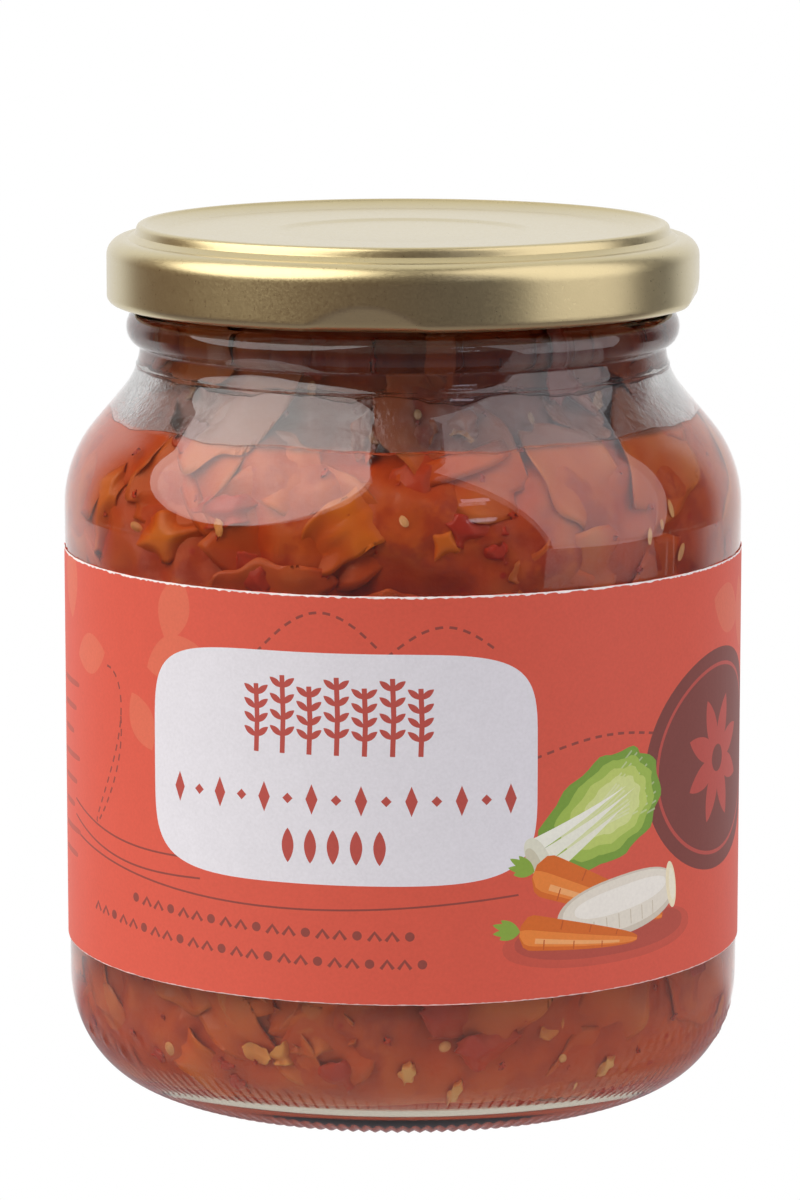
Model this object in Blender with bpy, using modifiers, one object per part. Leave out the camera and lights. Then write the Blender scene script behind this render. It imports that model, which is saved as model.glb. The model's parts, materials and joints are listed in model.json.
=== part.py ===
"""A glass jar of kimchi with a gold twist-off lid and a wrap-round paper label.

Metres, +Z up. The jar stands on the plane z = 0 with its axis on Z, and its front is towards -Y.
"""
import math
import random

import bmesh
import bpy
import numpy as np

MM = 0.001

# Overall
JAR_HEIGHT = 108.0 * MM          # from the table to the crest of the lid
CLEARANCE = 0.3 * MM             # air between neighbouring pieces
SEGMENTS = 48                    # facets round every turned piece

# Glass jar
BODY_RADIUS = 42.4 * MM
BODY_TAPER = 0.17 * MM           # how much slimmer the body is at the heel
WALL = 2.6 * MM
HEEL_HEIGHT = 13.5 * MM
BEARING_RADIUS = 31.3 * MM       # outer edge of the ring that the jar stands on
BEARING_WIDTH = 1.5 * MM
PUSH_UP = 2.6 * MM               # height of the hollow under the base
FLOOR_HEIGHT = 4.4 * MM          # inside floor at its edge
FLOOR_DOME = 1.4 * MM
SHOULDER_START = 72.9 * MM
SHOULDER_RADIUS = 15.57 * MM     # convex curve above the body
SHOULDER_SLOPE = math.radians(40.5)
SHOULDER_RUN = 5.65 * MM         # straight stretch between the two curves
NECK_RADIUS = 32.8 * MM
NECK_CURVE = 9.33 * MM           # concave curve under the neck
BEAD_RADIUS = 34.5 * MM
BEAD_HEIGHT = 4.4 * MM
BEAD_MIDDLE = 95.2 * MM
RIM_TOP = 106.5 * MM

# Lid
LID_RADIUS = 36.88 * MM
LID_LOW_EDGE = 98.2 * MM
SHEET = 0.3 * MM
PANEL_RADIUS = 33.2 * MM
PANEL_DROP = 1.0 * MM            # the flat middle lies this far under the crest
PANEL_FLAT_RADIUS = 29.4 * MM
BUTTON_RADIUS = 14.9 * MM
BUTTON_DROP = 0.3 * MM
SHOULDER_DROP = 1.7 * MM         # the lid's round shoulder lies this far under the crest
LID_ROUND = 2.2 * MM
HEM_RADIUS = 0.98 * MM           # rolled lower edge
LUGS = 4
LUG_TURN = math.radians(-97)     # the first lug, just left of the front
LUG_HALF_WIDTH = math.radians(14.7)
LUG_HEIGHT = 2.8 * MM
LUG_PRESS = 0.7 * MM

# Label
LABEL_LOW = 18.4 * MM
LABEL_HIGH = 67.8 * MM
LABEL_RADIUS = 42.4 * MM         # inside face
LABEL_THICKNESS = 0.15 * MM
LABEL_GAP = math.radians(11)     # between its two ends, at the back

# Kimchi
HEAP_TOP = 99.5 * MM
FLOOR_CLEARANCE = 0.6 * MM       # from the glass floor to the core
CORE_SEGMENTS = 32
CORE_DEPTH = 2.3 * MM            # from the glass to the smooth core
ROOT_DEPTH = 3.4 * MM            # where a piece ends inside the core
WAIST_DEPTH = 1.7 * MM           # flat facets need this much more room where the neck narrows
FRONT = math.radians(-90)


def clear_scene():
    for old in list(bpy.data.objects):
        bpy.data.objects.remove(old, do_unlink=True)


def material(name, color, roughness, metallic=0.0, transmission=0.0):
    made = bpy.data.materials.new(name)
    made.use_nodes = True
    shader = made.node_tree.nodes["Principled BSDF"]
    shader.inputs["Base Color"].default_value = (*color, 1.0)
    shader.inputs["Roughness"].default_value = roughness
    shader.inputs["Metallic"].default_value = metallic
    shader.inputs["Transmission Weight"].default_value = transmission
    return made


def arc(center, radius, start, end, steps):
    """Points on an ellipse in the (r, z) plane, angles in degrees from the outward direction."""
    across, up = radius if isinstance(radius, tuple) else (radius, radius)
    turns = [math.radians(start + (end - start) * i / steps) for i in range(steps + 1)]
    return [(center[0] + across * math.cos(t), center[1] + up * math.sin(t)) for t in turns]


def turned(name, profile, finish, home, segments=SEGMENTS):
    """A solid of revolution: the profile runs down its outer side, top to bottom."""
    mesh = bpy.data.meshes.new(name)
    edges = [(i, i + 1) for i in range(len(profile) - 1)]
    mesh.from_pydata([(r, 0.0, z) for r, z in profile], edges, [])
    obj = bpy.data.objects.new(name, mesh)
    home.objects.link(obj)
    screw = obj.modifiers.new("turn", "SCREW")
    screw.steps = screw.render_steps = segments
    screw.use_merge_vertices = True
    screw.merge_threshold = 0.00001
    mesh.materials.append(finish)
    return obj


def applied(obj):
    """Replaces the object's mesh by the one its modifiers make."""
    bpy.context.view_layer.update()
    graph = bpy.context.evaluated_depsgraph_get()
    mesh = bpy.data.meshes.new_from_object(obj.evaluated_get(graph))
    obj.modifiers.clear()
    obj.data = mesh
    return mesh


def shoulder_curves(inset):
    """The jar's shoulder and neck from the body up, moved into the wall by inset."""
    slope = math.degrees(SHOULDER_SLOPE)
    convex_center = (BODY_RADIUS - SHOULDER_RADIUS, SHOULDER_START)
    convex = arc(convex_center, SHOULDER_RADIUS - inset, 0, slope, 5)
    rise = SHOULDER_RADIUS * math.sin(SHOULDER_SLOPE) + SHOULDER_RUN * math.cos(SHOULDER_SLOPE)
    neck_level = SHOULDER_START + rise + NECK_CURVE * math.sin(SHOULDER_SLOPE)
    concave_center = (NECK_RADIUS + NECK_CURVE, neck_level)
    concave = arc(concave_center, NECK_CURVE + inset, 180 + slope, 180, 4)
    return convex + concave


def inner_profile():
    """The inside of the glass, from the middle of the floor up to the mouth."""
    inner_radius = BODY_RADIUS - BODY_TAPER - WALL
    corner = (8.7 * MM, 9.6 * MM)
    corner_center = (inner_radius - corner[0], FLOOR_HEIGHT + corner[1])
    floor = [(0.0, FLOOR_HEIGHT + FLOOR_DOME), (18.0 * MM, FLOOR_HEIGHT + 0.75 * FLOOR_DOME)]
    return floor + arc(corner_center, corner, -90, 0, 5) + shoulder_curves(WALL)


def glass_jar(home, finish):
    rim_half = 0.5 * WALL
    rim_center = (NECK_RADIUS - rim_half, RIM_TOP - rim_half)
    rim = arc(rim_center, rim_half, 180, 0, 4)
    bead = arc((NECK_RADIUS, BEAD_MIDDLE), (BEAD_RADIUS - NECK_RADIUS, BEAD_HEIGHT / 2), 90, -90, 6)
    shoulder = list(reversed(shoulder_curves(0.0)))[1:]
    panel_radius = LABEL_RADIUS - CLEARANCE
    panel_high = LABEL_HIGH + CLEARANCE
    panel_low = LABEL_LOW - CLEARANCE
    low_radius = BODY_RADIUS - BODY_TAPER
    panel = [
        (BODY_RADIUS, panel_high + CLEARANCE),
        (panel_radius, panel_high),
        (panel_radius, panel_low),
        (low_radius, panel_low - CLEARANCE),
    ]
    heel_size = (low_radius - BEARING_RADIUS, HEEL_HEIGHT)
    heel = arc((BEARING_RADIUS, HEEL_HEIGHT), heel_size, 0, -90, 7)
    bearing_inner = BEARING_RADIUS - BEARING_WIDTH
    hollow = [
        (bearing_inner, 0.0),
        (bearing_inner - 1.2 * MM, 0.5 * PUSH_UP),
        (0.55 * BEARING_RADIUS, 0.8 * PUSH_UP),
        (0.0, PUSH_UP),
    ]
    profile = inner_profile() + rim + bead + shoulder + panel + heel + hollow
    return turned("glass_jar", profile, finish, home)


def lid_outside():
    """The lid's outer face, from the middle of the top to the inside of the rolled edge."""
    crest = JAR_HEIGHT
    flat = crest - PANEL_DROP
    shoulder_top = crest - SHOULDER_DROP
    top = [
        (0.0, flat - BUTTON_DROP),
        (BUTTON_RADIUS, flat - BUTTON_DROP),
        (BUTTON_RADIUS + 1.4 * MM, flat),
        (PANEL_FLAT_RADIUS, flat),
        (PANEL_RADIUS - 1.5 * MM, crest - 0.35 * PANEL_DROP),
        (PANEL_RADIUS - 0.6 * MM, crest),
        (PANEL_RADIUS, crest - 0.5 * MM),
        (PANEL_RADIUS + 0.4 * MM, shoulder_top - 0.1 * MM),
    ]
    round_center = (LID_RADIUS - LID_ROUND, shoulder_top - LID_ROUND)
    hem_center = (LID_RADIUS - HEM_RADIUS, LID_LOW_EDGE + HEM_RADIUS)
    press_line = [(LID_RADIUS, LID_LOW_EDGE + LUG_HEIGHT)]
    return top + arc(round_center, LID_ROUND, 90, 0, 4) + press_line + arc(hem_center, HEM_RADIUS, 0, -180, 4)


def lid_inside():
    """The lid's inner face, from the top of the rolled edge to the middle."""
    crest = JAR_HEIGHT - SHEET
    flat = crest - PANEL_DROP
    shoulder_top = crest - SHOULDER_DROP
    skirt_radius = LID_RADIUS - SHEET
    hem_top = LID_LOW_EDGE + 2.0 * HEM_RADIUS
    round_center = (LID_RADIUS - LID_ROUND, shoulder_top + SHEET - LID_ROUND)
    return [
        (LID_RADIUS - 1.6 * HEM_RADIUS, hem_top),
        (skirt_radius, hem_top + 0.3 * MM),
        *arc(round_center, LID_ROUND - SHEET, 0, 90, 2),
        (PANEL_RADIUS - SHEET, crest - 0.5 * MM),
        (PANEL_RADIUS - 0.8 * MM, crest),
        (PANEL_FLAT_RADIUS, flat),
        (0.0, flat - BUTTON_DROP),
    ]


def lid(home, finish):
    obj = turned("lid", lid_outside() + lid_inside(), finish, home)
    mesh = applied(obj)
    for vertex in mesh.vertices:
        x, y, z = vertex.co
        depth = (LID_LOW_EDGE + LUG_HEIGHT - z) / LUG_HEIGHT
        spacing = 2.0 * math.pi / LUGS
        away = (math.atan2(y, x) - LUG_TURN + spacing / 2) % spacing - spacing / 2
        across = 1.0 - (away / LUG_HALF_WIDTH) ** 2
        if depth > 0.0 and across > 0.0:
            scale = 1.0 - LUG_PRESS * depth * across / math.hypot(x, y)
            vertex.co = (x * scale, y * scale, z)
    return obj


def label(home, finish):
    """A paper band, open at the back."""
    mesh = bpy.data.meshes.new("label")
    mesh.from_pydata([(LABEL_RADIUS, 0.0, LABEL_HIGH), (LABEL_RADIUS, 0.0, LABEL_LOW)], [(0, 1)], [])
    obj = bpy.data.objects.new("label", mesh)
    home.objects.link(obj)
    screw = obj.modifiers.new("wrap", "SCREW")
    screw.angle = 2.0 * math.pi - LABEL_GAP
    screw.steps = screw.render_steps = SEGMENTS
    paper = obj.modifiers.new("paper", "SOLIDIFY")
    paper.thickness = LABEL_THICKNESS
    paper.offset = 1.0
    obj.rotation_euler.z = math.pi / 2 + LABEL_GAP / 2
    mesh.materials.append(finish)
    return obj


class Glass:
    """The inner wall as a radius at each height, for laying pieces against it."""

    def __init__(self):
        wall = [point for point in inner_profile() if point[0] > 20.0 * MM]
        wall.append((wall[-1][0], RIM_TOP))
        self.radii = [r for r, z in wall]
        self.heights = [z for r, z in wall]
        waist = SHOULDER_START + 0.4 * (BEAD_MIDDLE - SHOULDER_START)
        self.waist = [waist - 4.0 * MM, waist, BEAD_MIDDLE]
        self.extra = [0.0, WAIST_DEPTH, WAIST_DEPTH]

    def radius(self, height):
        wall = float(np.interp(height, self.heights, self.radii))
        return wall - float(np.interp(height, self.waist, self.extra))

    def place(self, angle, height, turn, u, v, depth):
        """The point u along and v across a piece that lies on the wall, depth below the glass."""
        along = u * math.cos(turn) - v * math.sin(turn)
        up = u * math.sin(turn) + v * math.cos(turn)
        radius = self.radius(height + up) - depth
        direction = angle + along / self.radius(height)
        return (radius * math.cos(direction), radius * math.sin(direction), height + up)


def heap_core(home, finish):
    """The smooth middle of the heap, clear of the floor and the wall."""
    inside = inner_profile()
    floor = [(r, z + FLOOR_CLEARANCE) for r, z in inside if r < 20.0 * MM]
    lowest = FLOOR_HEIGHT + FLOOR_CLEARANCE
    side = [(r, z) for r, z in inside if r > 20.0 * MM and z < HEAP_TOP][::2]
    wall = [(r - CORE_DEPTH, max(z, lowest)) for r, z in side]
    neck = wall[-1][0]
    top = [(0.0, HEAP_TOP), (0.7 * neck, HEAP_TOP - 0.4 * MM), (neck, HEAP_TOP - 2.0 * MM)]
    return turned("kimchi", top + wall[::-1] + floor[::-1], finish, home, CORE_SEGMENTS)


def sliced_block(lengthwise_cuts, crosswise_cuts):
    """A unit cube cut into slices along X and along Y."""
    bm = bmesh.new()
    bmesh.ops.create_cube(bm, size=1.0)
    for axis, cuts in ((0, lengthwise_cuts), (1, crosswise_cuts)):
        along = [e for e in bm.edges if abs(e.verts[0].co[axis] - e.verts[1].co[axis]) > 0.5]
        if cuts:
            bmesh.ops.subdivide_edges(bm, edges=along, cuts=cuts, use_grid_fill=True)
    return bm


def strip(chance, glass, angle, height, length, width, turn):
    """A bent matchstick of carrot or stem."""
    bm = sliced_block(2, 0)
    proud = chance.uniform(0.35, 0.9) * MM
    sag = chance.uniform(-0.12, 0.12) * length
    for vertex in bm.verts:
        x, y, z = vertex.co
        depth = proud if z > 0.0 else ROOT_DEPTH
        bow = sag * (1.0 - 4.0 * x * x)
        narrow = 0.8 if z > 0.0 else 1.0
        vertex.co = glass.place(angle, height, turn, x * length, y * width * narrow + bow, depth)
    return bm


def leaf(chance, glass, angle, height, length, width, turn):
    """A wavy piece of cabbage leaf with a ragged edge."""
    bm = sliced_block(2, 1)
    wave = chance.uniform(0.0, 2.0 * math.pi)
    bow = chance.uniform(-0.2, 0.2) * length
    ragged = {}
    for vertex in bm.verts:
        x, y, z = vertex.co
        corner = (round(x, 2), round(y, 2))
        if corner not in ragged:
            ragged[corner] = (chance.uniform(-0.08, 0.08), chance.uniform(-0.16, 0.16))
        shift = ragged[corner]
        ripple = 0.4 * MM * (1.0 + math.sin(wave + 5.0 * x + 3.0 * y))
        depth = 0.4 * MM + ripple if z > 0.0 else ROOT_DEPTH
        u = (x + shift[0]) * length
        v = (y + shift[1]) * width * (1.0 - 0.9 * x * x) + bow * (1.0 - 4.0 * x * x)
        vertex.co = glass.place(angle, height, turn, u, v, depth)
    return bm


def crumb(chance, glass, angle, height, length, width, turn):
    """A chilli flake, seed or bit of garlic."""
    bm = bmesh.new()
    bmesh.ops.create_icosphere(bm, subdivisions=1, radius=0.5)
    for vertex in bm.verts:
        x, y, z = vertex.co
        depth = CORE_DEPTH + 0.5 * MM - (z + 0.5) * (CORE_DEPTH - chance.uniform(0.0, 0.3) * MM)
        vertex.co = glass.place(angle, height, turn, x * length, y * width, depth)
    return bm


def scatter(chance, count, low, high):
    """Places spread evenly round and up the wall, each moved a little at random."""
    golden = math.pi * (3.0 - math.sqrt(5.0))
    for i in range(count):
        angle = FRONT + i * golden + chance.uniform(-0.15, 0.15)
        height = low + (high - low) * (i + 0.5) / count + chance.uniform(-1.0, 1.0) * MM
        yield angle, height


def keep_largest_body(mesh):
    """Fills the hollows that fusing sealed and drops loose scraps, by keeping the one outer skin."""
    bm = bmesh.new()
    bm.from_mesh(mesh)
    left = set(bm.faces)
    bodies = []
    while left:
        body = []
        todo = [left.pop()]
        while todo:
            face = todo.pop()
            body.append(face)
            near = {other for edge in face.edges for other in edge.link_faces} & left
            left -= near
            todo += near
        bodies.append(body)
    bodies.sort(key=len)
    scraps = [face for body in bodies[:-1] for face in body]
    bmesh.ops.delete(bm, geom=scraps, context="FACES")
    bm.to_mesh(mesh)
    bm.free()


KINDS = (
    # maker, how many, length range, width range in millimetres
    (leaf, 32, (18.0, 32.0), (10.0, 17.0)),
    (strip, 18, (12.0, 22.0), (2.2, 3.4)),
    (crumb, 28, (2.4, 4.2), (1.8, 3.0)),
)


def kimchi(home, pieces, finish):
    """The heap: a core with cabbage, strips and chilli bits fused on, largest first."""
    heap = heap_core(home, finish)
    chance = random.Random(11)
    glass = Glass()
    for maker, count, lengths, widths in KINDS:
        low = FLOOR_HEIGHT + 8.0 * MM
        high = HEAP_TOP - 6.0 * MM
        for angle, height in scatter(chance, count, low, high):
            length = chance.uniform(*lengths) * MM
            width = chance.uniform(*widths) * MM
            turn = chance.gauss(0.0, 0.5)
            reach = 0.5 * length * abs(math.sin(turn)) + 0.5 * width
            height = min(max(height, FLOOR_HEIGHT + 3.0 * MM + reach), HEAP_TOP - 2.0 * MM - reach)
            bm = maker(chance, glass, angle, height, length, width, turn)
            bmesh.ops.recalc_face_normals(bm, faces=bm.faces[:])
            mesh = bpy.data.meshes.new("piece")
            bm.to_mesh(mesh)
            bm.free()
            mesh.materials.append(finish)
            piece = bpy.data.objects.new("piece", mesh)
            piece.hide_render = True
            piece.display_type = "WIRE"
            pieces.objects.link(piece)
    union = heap.modifiers.new("fuse", "BOOLEAN")
    union.operation = "UNION"
    union.operand_type = "COLLECTION"
    union.collection = pieces
    union.solver = "EXACT"
    keep_largest_body(applied(heap))
    for piece in list(pieces.objects):
        bpy.data.objects.remove(piece, do_unlink=True)
    return heap


def main():
    clear_scene()
    home = bpy.data.collections.new("kimchi_jar")
    pieces = bpy.data.collections.new("heap_pieces")
    for collection in (home, pieces):
        bpy.context.scene.collection.children.link(collection)
    glass_jar(home, material("glass", (0.92, 0.95, 0.93), 0.03, transmission=1.0))
    lid(home, material("gold_lacquer", (0.52, 0.42, 0.20), 0.32, metallic=1.0))
    label(home, material("label_paper", (0.72, 0.14, 0.08), 0.55))
    kimchi(home, pieces, material("kimchi", (0.55, 0.12, 0.02), 0.35))


main()
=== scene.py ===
"""Looks of a glass jar of kimchi with a gold twist-off lid and a printed paper label.

Laid out as an add-on with one operator for each piece. Metres, +Z up, the label's front faces -Y.
"""

import json
import math
import random

import bpy
import numpy as np
from bpy.props import (
    CollectionProperty,
    FloatProperty,
    FloatVectorProperty,
    IntProperty,
    PointerProperty,
)
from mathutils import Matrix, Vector
from mathutils.geometry import delaunay_2d_cdt

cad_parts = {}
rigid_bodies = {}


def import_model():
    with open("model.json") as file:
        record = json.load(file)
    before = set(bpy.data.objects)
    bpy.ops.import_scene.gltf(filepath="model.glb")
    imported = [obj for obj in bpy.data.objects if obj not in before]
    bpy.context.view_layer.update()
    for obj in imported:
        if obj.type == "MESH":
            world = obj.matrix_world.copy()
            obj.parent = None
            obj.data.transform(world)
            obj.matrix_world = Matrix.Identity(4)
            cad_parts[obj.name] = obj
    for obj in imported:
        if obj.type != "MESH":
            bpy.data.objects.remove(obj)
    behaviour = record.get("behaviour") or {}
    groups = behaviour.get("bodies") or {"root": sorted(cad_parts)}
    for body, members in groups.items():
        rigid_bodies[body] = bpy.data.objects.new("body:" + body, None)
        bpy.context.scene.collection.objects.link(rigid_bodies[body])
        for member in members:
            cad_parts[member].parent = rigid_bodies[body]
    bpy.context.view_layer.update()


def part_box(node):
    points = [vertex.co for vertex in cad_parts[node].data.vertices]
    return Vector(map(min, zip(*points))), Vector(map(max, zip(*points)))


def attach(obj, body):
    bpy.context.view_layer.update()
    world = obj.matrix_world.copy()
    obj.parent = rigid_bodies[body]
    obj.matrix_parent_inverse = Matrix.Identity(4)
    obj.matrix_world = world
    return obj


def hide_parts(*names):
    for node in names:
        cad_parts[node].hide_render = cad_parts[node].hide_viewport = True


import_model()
lid_low, lid_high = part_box("lid")
label_low, label_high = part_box("label")
heap_low, heap_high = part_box("kimchi")

bl_info = {
    "name": "Kimchi Jar",
    "version": (1, 0, 0),
    "blender": (4, 5, 0),
    "location": "3D View > Sidebar > Kimchi Jar",
    "description": "Builds a jar of kimchi with its lid, label, brine and studio",
    "category": "Add Mesh",
}

MM = 0.001
TURN = 2.0 * math.pi
BODY = "root"


# Settings


def length(name, millimetres, description):
    return FloatProperty(
        name=name,
        description=description,
        default=millimetres * MM,
        precision=5,
        subtype="DISTANCE",
        unit="LENGTH",
    )


def number(name, default, description):
    return IntProperty(name=name, description=description, default=default, min=0)


def share(name, default, description):
    return FloatProperty(name=name, description=description, default=default, min=0.0)


def angle(name, degrees, description):
    return FloatProperty(
        name=name,
        description=description,
        default=math.radians(degrees),
        subtype="ANGLE",
        unit="ROTATION",
    )


def color(name, red, green, blue, description):
    return FloatVectorProperty(
        name=name,
        description=description,
        default=(red, green, blue),
        subtype="COLOR",
        size=3,
        min=0.0,
        max=1.0,
    )


class JarSettings(bpy.types.PropertyGroup):
    """The glass."""

    segments: number("Segments", 624, "Facets round the jar, four for each knurl")
    body_radius: length("Body radius", 42.4, "Widest radius of the glass")
    body_taper: length("Body taper", 0.17, "How much slimmer the body is at the heel")
    wall: length("Wall", 2.6, "Thickness of the glass")
    heel_height: length("Heel height", 13.5, "Where the heel's curve meets the body")
    bearing_radius: length("Bearing radius", 31.3, "Outer edge of the ring it stands on")
    bearing_width: length("Bearing width", 1.5, "Width of that ring")
    push_up: length("Push-up", 2.6, "Height of the hollow under the base")
    floor_height: length("Floor height", 4.4, "Height of the inside floor at its edge")
    floor_dome: length("Floor dome", 1.4, "Rise of the inside floor to its middle")
    corner_width: length("Corner width", 8.7, "Width of the curve from the floor to the wall")
    corner_height: length("Corner height", 9.6, "Height of that curve")
    shoulder_start: length("Shoulder start", 72.9, "Where the upright wall ends")
    shoulder_radius: length("Shoulder radius", 15.57, "Radius of the curve above the body")
    shoulder_slope: angle("Shoulder slope", 40.5, "How far that curve turns inwards")
    shoulder_run: length("Shoulder run", 5.65, "Straight stretch below the neck's curve")
    neck_radius: length("Neck radius", 32.8, "Narrowest radius of the neck")
    neck_curve: length("Neck curve", 9.33, "Radius of the curve under the neck")
    bead_radius: length("Bead radius", 34.5, "Outer radius of the ring under the lid")
    bead_height: length("Bead height", 4.4, "Height of that ring")
    bead_middle: length("Bead middle", 95.2, "Height of its middle above the table")
    rim_top: length("Rim top", 106.5, "Height of the glass rim")
    panel_depth: length("Panel depth", 0.06, "How far the glass is sunk behind the label")
    seam_height: length("Seam height", 90.6, "Height of the mould's ring line")
    seam_rise: length("Seam rise", 0.12, "How proud that line stands")
    knurls: number("Knurls", 156, "Notches in the ring that the jar stands on")
    knurl_depth: length("Knurl depth", 0.32, "Depth of each notch")
    dot_rise: length("Dot rise", 0.12, "Height of the small raised dots on the heel")
    dot_start: angle("Dots start", 18.5, "Where the dots begin, right of the front")
    dot_end: angle("Dots end", 200.0, "Where the dots end")
    tint: color("Tint", 0.90, 0.93, 0.86, "Colour that thick glass takes")
    tint_strength: share("Tint strength", 9.0, "How soon thick glass takes its colour, per metre")


class LidSettings(bpy.types.PropertyGroup):
    """The twist-off lid."""

    segments: number("Segments", 384, "Facets round the lid")
    radius: length("Radius", 36.88, "Outer radius of the skirt")
    low_edge: length("Low edge", 98.2, "Height of its lowest point")
    sheet: length("Sheet", 0.3, "Thickness of the tinplate")
    panel_radius: length("Panel radius", 33.2, "Radius of the raised panel")
    panel_drop: length("Panel drop", 1.0, "The flat middle lies this far under the crest")
    flat_radius: length("Flat radius", 29.4, "Radius of the flat middle")
    button_radius: length("Button radius", 14.9, "Radius of the safety button")
    button_drop: length("Button drop", 0.3, "How far the button is sunk")
    shoulder_drop: length("Shoulder drop", 1.7, "The round shoulder lies this far under the crest")
    round_radius: length("Shoulder radius", 2.2, "Radius of the round shoulder")
    hem_radius: length("Hem radius", 0.98, "Radius of the rolled edge")
    lugs: number("Lugs", 4, "Pressed flats round the skirt")
    lug_turn: angle("Lug turn", -7.0, "Where the first flat is, from the front")
    lug_height: length("Lug height", 3.1, "Height of each flat")
    lug_press: length("Lug press", 0.8, "How deep each flat is pressed at the edge")
    gold: color("Gold", 0.56, 0.47, 0.25, "Colour of the lacquer")


class LabelSettings(bpy.types.PropertyGroup):
    """The paper label and its print."""

    inner_radius: length("Inner radius", 42.38, "Radius of the paper's back")
    thickness: length("Thickness", 0.1, "Thickness of the paper")
    gap: angle("Gap", 11.0, "Between its two ends, at the back")
    ground: color("Ground", 0.70, 0.105, 0.066, "Main colour of the print")
    cloud: color("Pale orange", 0.72, 0.155, 0.09, "Soft shapes on the ground")
    deep: color("Maroon", 0.22, 0.06, 0.05, "Lines and the round badge")
    paper: color("Paper", 0.78, 0.78, 0.84, "Bare paper and the white panel")
    accent: color("Accent", 0.50, 0.085, 0.068, "Ornament on the white panel")


class KimchiSettings(bpy.types.PropertyGroup):
    """The heap of kimchi and its brine."""

    brine_level: length("Brine level", 82.8, "Height of the brine's surface")
    pocket_top: length("Pocket top", 89.8, "Top of the air pocket above the brine")
    brine_top: length("Brine top", 98.2, "Where the wet heap ends under the lid")
    brine_reach: length("Brine reach", 0.12, "How far the brine reaches into the glass")
    core_segments: number("Core segments", 300, "Facets round the heap's core")
    leaves: number("Leaves", 80, "Pieces of cabbage leaf")
    amber_leaves: number("Amber leaves", 34, "Thin pieces of leaf that the light shines through")
    strips: number("Strips", 30, "Matchsticks of carrot and stem")
    pepper: number("Red pepper", 40, "Pieces of red pepper")
    garlic: number("Garlic", 36, "Bits of garlic")
    flakes: number("Chilli flakes", 420, "Chilli flakes")
    seeds: number("Seeds", 40, "Chilli seeds")
    brine: color("Brine", 1.0, 0.55, 0.10, "Colour of light through the brine")
    brine_strength: share("Brine strength", 220.0, "How soon the brine colours light, per metre")
    heel_murk: color("Heel murk", 0.66, 0.105, 0.018, "Cloudy brine at the bottom")
    # Cloudy brine with painted shade: darker than the heel murk, where the label shades the top of the heel.
    shaded_murk: color("Murk", 0.50, 0.085, 0.028, "Cloudy brine behind the heel and the label")
    deep_murk: color("Deep murk", 0.42, 0.055, 0.010, "Cloudy brine above the label")
    top_murk: color("Top murk", 0.48, 0.070, 0.004, "Clear brine under its surface")
    # Painted shade: the dark that pieces fade to in the gaps of the air pocket above the brine.
    pocket_shade: color("Pocket murk", 0.13, 0.030, 0.014, "Dark gaps above the brine")
    # Brine colour with painted shade: the dark that pieces fade to in the gaps of the neck.
    neck_murk_and_shade: color("Neck murk", 0.12, 0.024, 0.005, "Dark gaps in the neck")
    # Painted shade laid over every piece above the brine.
    above_brine_shade: color("Above the brine", 0.34, 0.30, 0.30, "Darkens pieces above the brine")


class StudioSettings(bpy.types.PropertyGroup):
    """The camera and the light."""

    lens: FloatProperty(name="Lens", description="Focal length in millimetres", default=154.93)
    left_power: share("Left light", 1.0, "Strength of the large round light on the left")
    right_power: share("Right light", 1.0, "Strength of the tall light on the right")


# Outlines


def arc(center, radius, start, end, steps):
    """Points on an ellipse in the (r, z) plane, angles in degrees from the outward direction."""
    across, up = radius if isinstance(radius, tuple) else (radius, radius)
    turns = [math.radians(start + (end - start) * i / steps) for i in range(steps + 1)]
    return [(center[0] + across * math.cos(t), center[1] + up * math.sin(t)) for t in turns]


def shoulder_outline(jar, inset):
    """The shoulder and neck from the body up, moved into the wall by inset."""
    slope = math.degrees(jar.shoulder_slope)
    convex_center = (jar.body_radius - jar.shoulder_radius, jar.shoulder_start)
    convex = arc(convex_center, jar.shoulder_radius - inset, 0, slope, 10)
    rise = jar.shoulder_radius * math.sin(jar.shoulder_slope)
    rise += jar.shoulder_run * math.cos(jar.shoulder_slope)
    neck_level = jar.shoulder_start + rise + jar.neck_curve * math.sin(jar.shoulder_slope)
    concave_center = (jar.neck_radius + jar.neck_curve, neck_level)
    concave = arc(concave_center, jar.neck_curve + inset, 180 + slope, 180, 8)
    return convex + concave


def wall_outline(jar, reach=0.0):
    """The inside of the glass from the middle of the floor to the mouth, moved outwards by reach."""
    corner_center = (
        jar.body_radius - jar.body_taper - jar.wall - jar.corner_width,
        jar.floor_height + jar.corner_height,
    )
    corner = arc(corner_center, (jar.corner_width + reach, jar.corner_height + reach), -90, 0, 12)
    middle = jar.floor_height + jar.floor_dome - reach
    floor = [(0.0, middle), (18.0 * MM, middle - 0.25 * jar.floor_dome)]
    return floor + corner + shoulder_outline(jar, jar.wall - reach)


def seam(outline, height, rise):
    """Adds a thin ridge to an outline that runs upwards past height."""
    radii = [r for r, z in outline]
    heights = [z for r, z in outline]
    ridge = []
    for offset, lift in ((-0.3, 0.0), (-0.12, 0.7), (0.0, 1.0), (0.12, 0.7), (0.3, 0.0)):
        level = height + offset * MM
        ridge.append((float(np.interp(level, heights, radii)) + lift * rise, level))
    below = [p for p in outline if p[1] < ridge[0][1] - 0.1 * MM]
    above = [p for p in outline if p[1] > ridge[-1][1] + 0.1 * MM]
    return below + ridge + above


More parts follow.
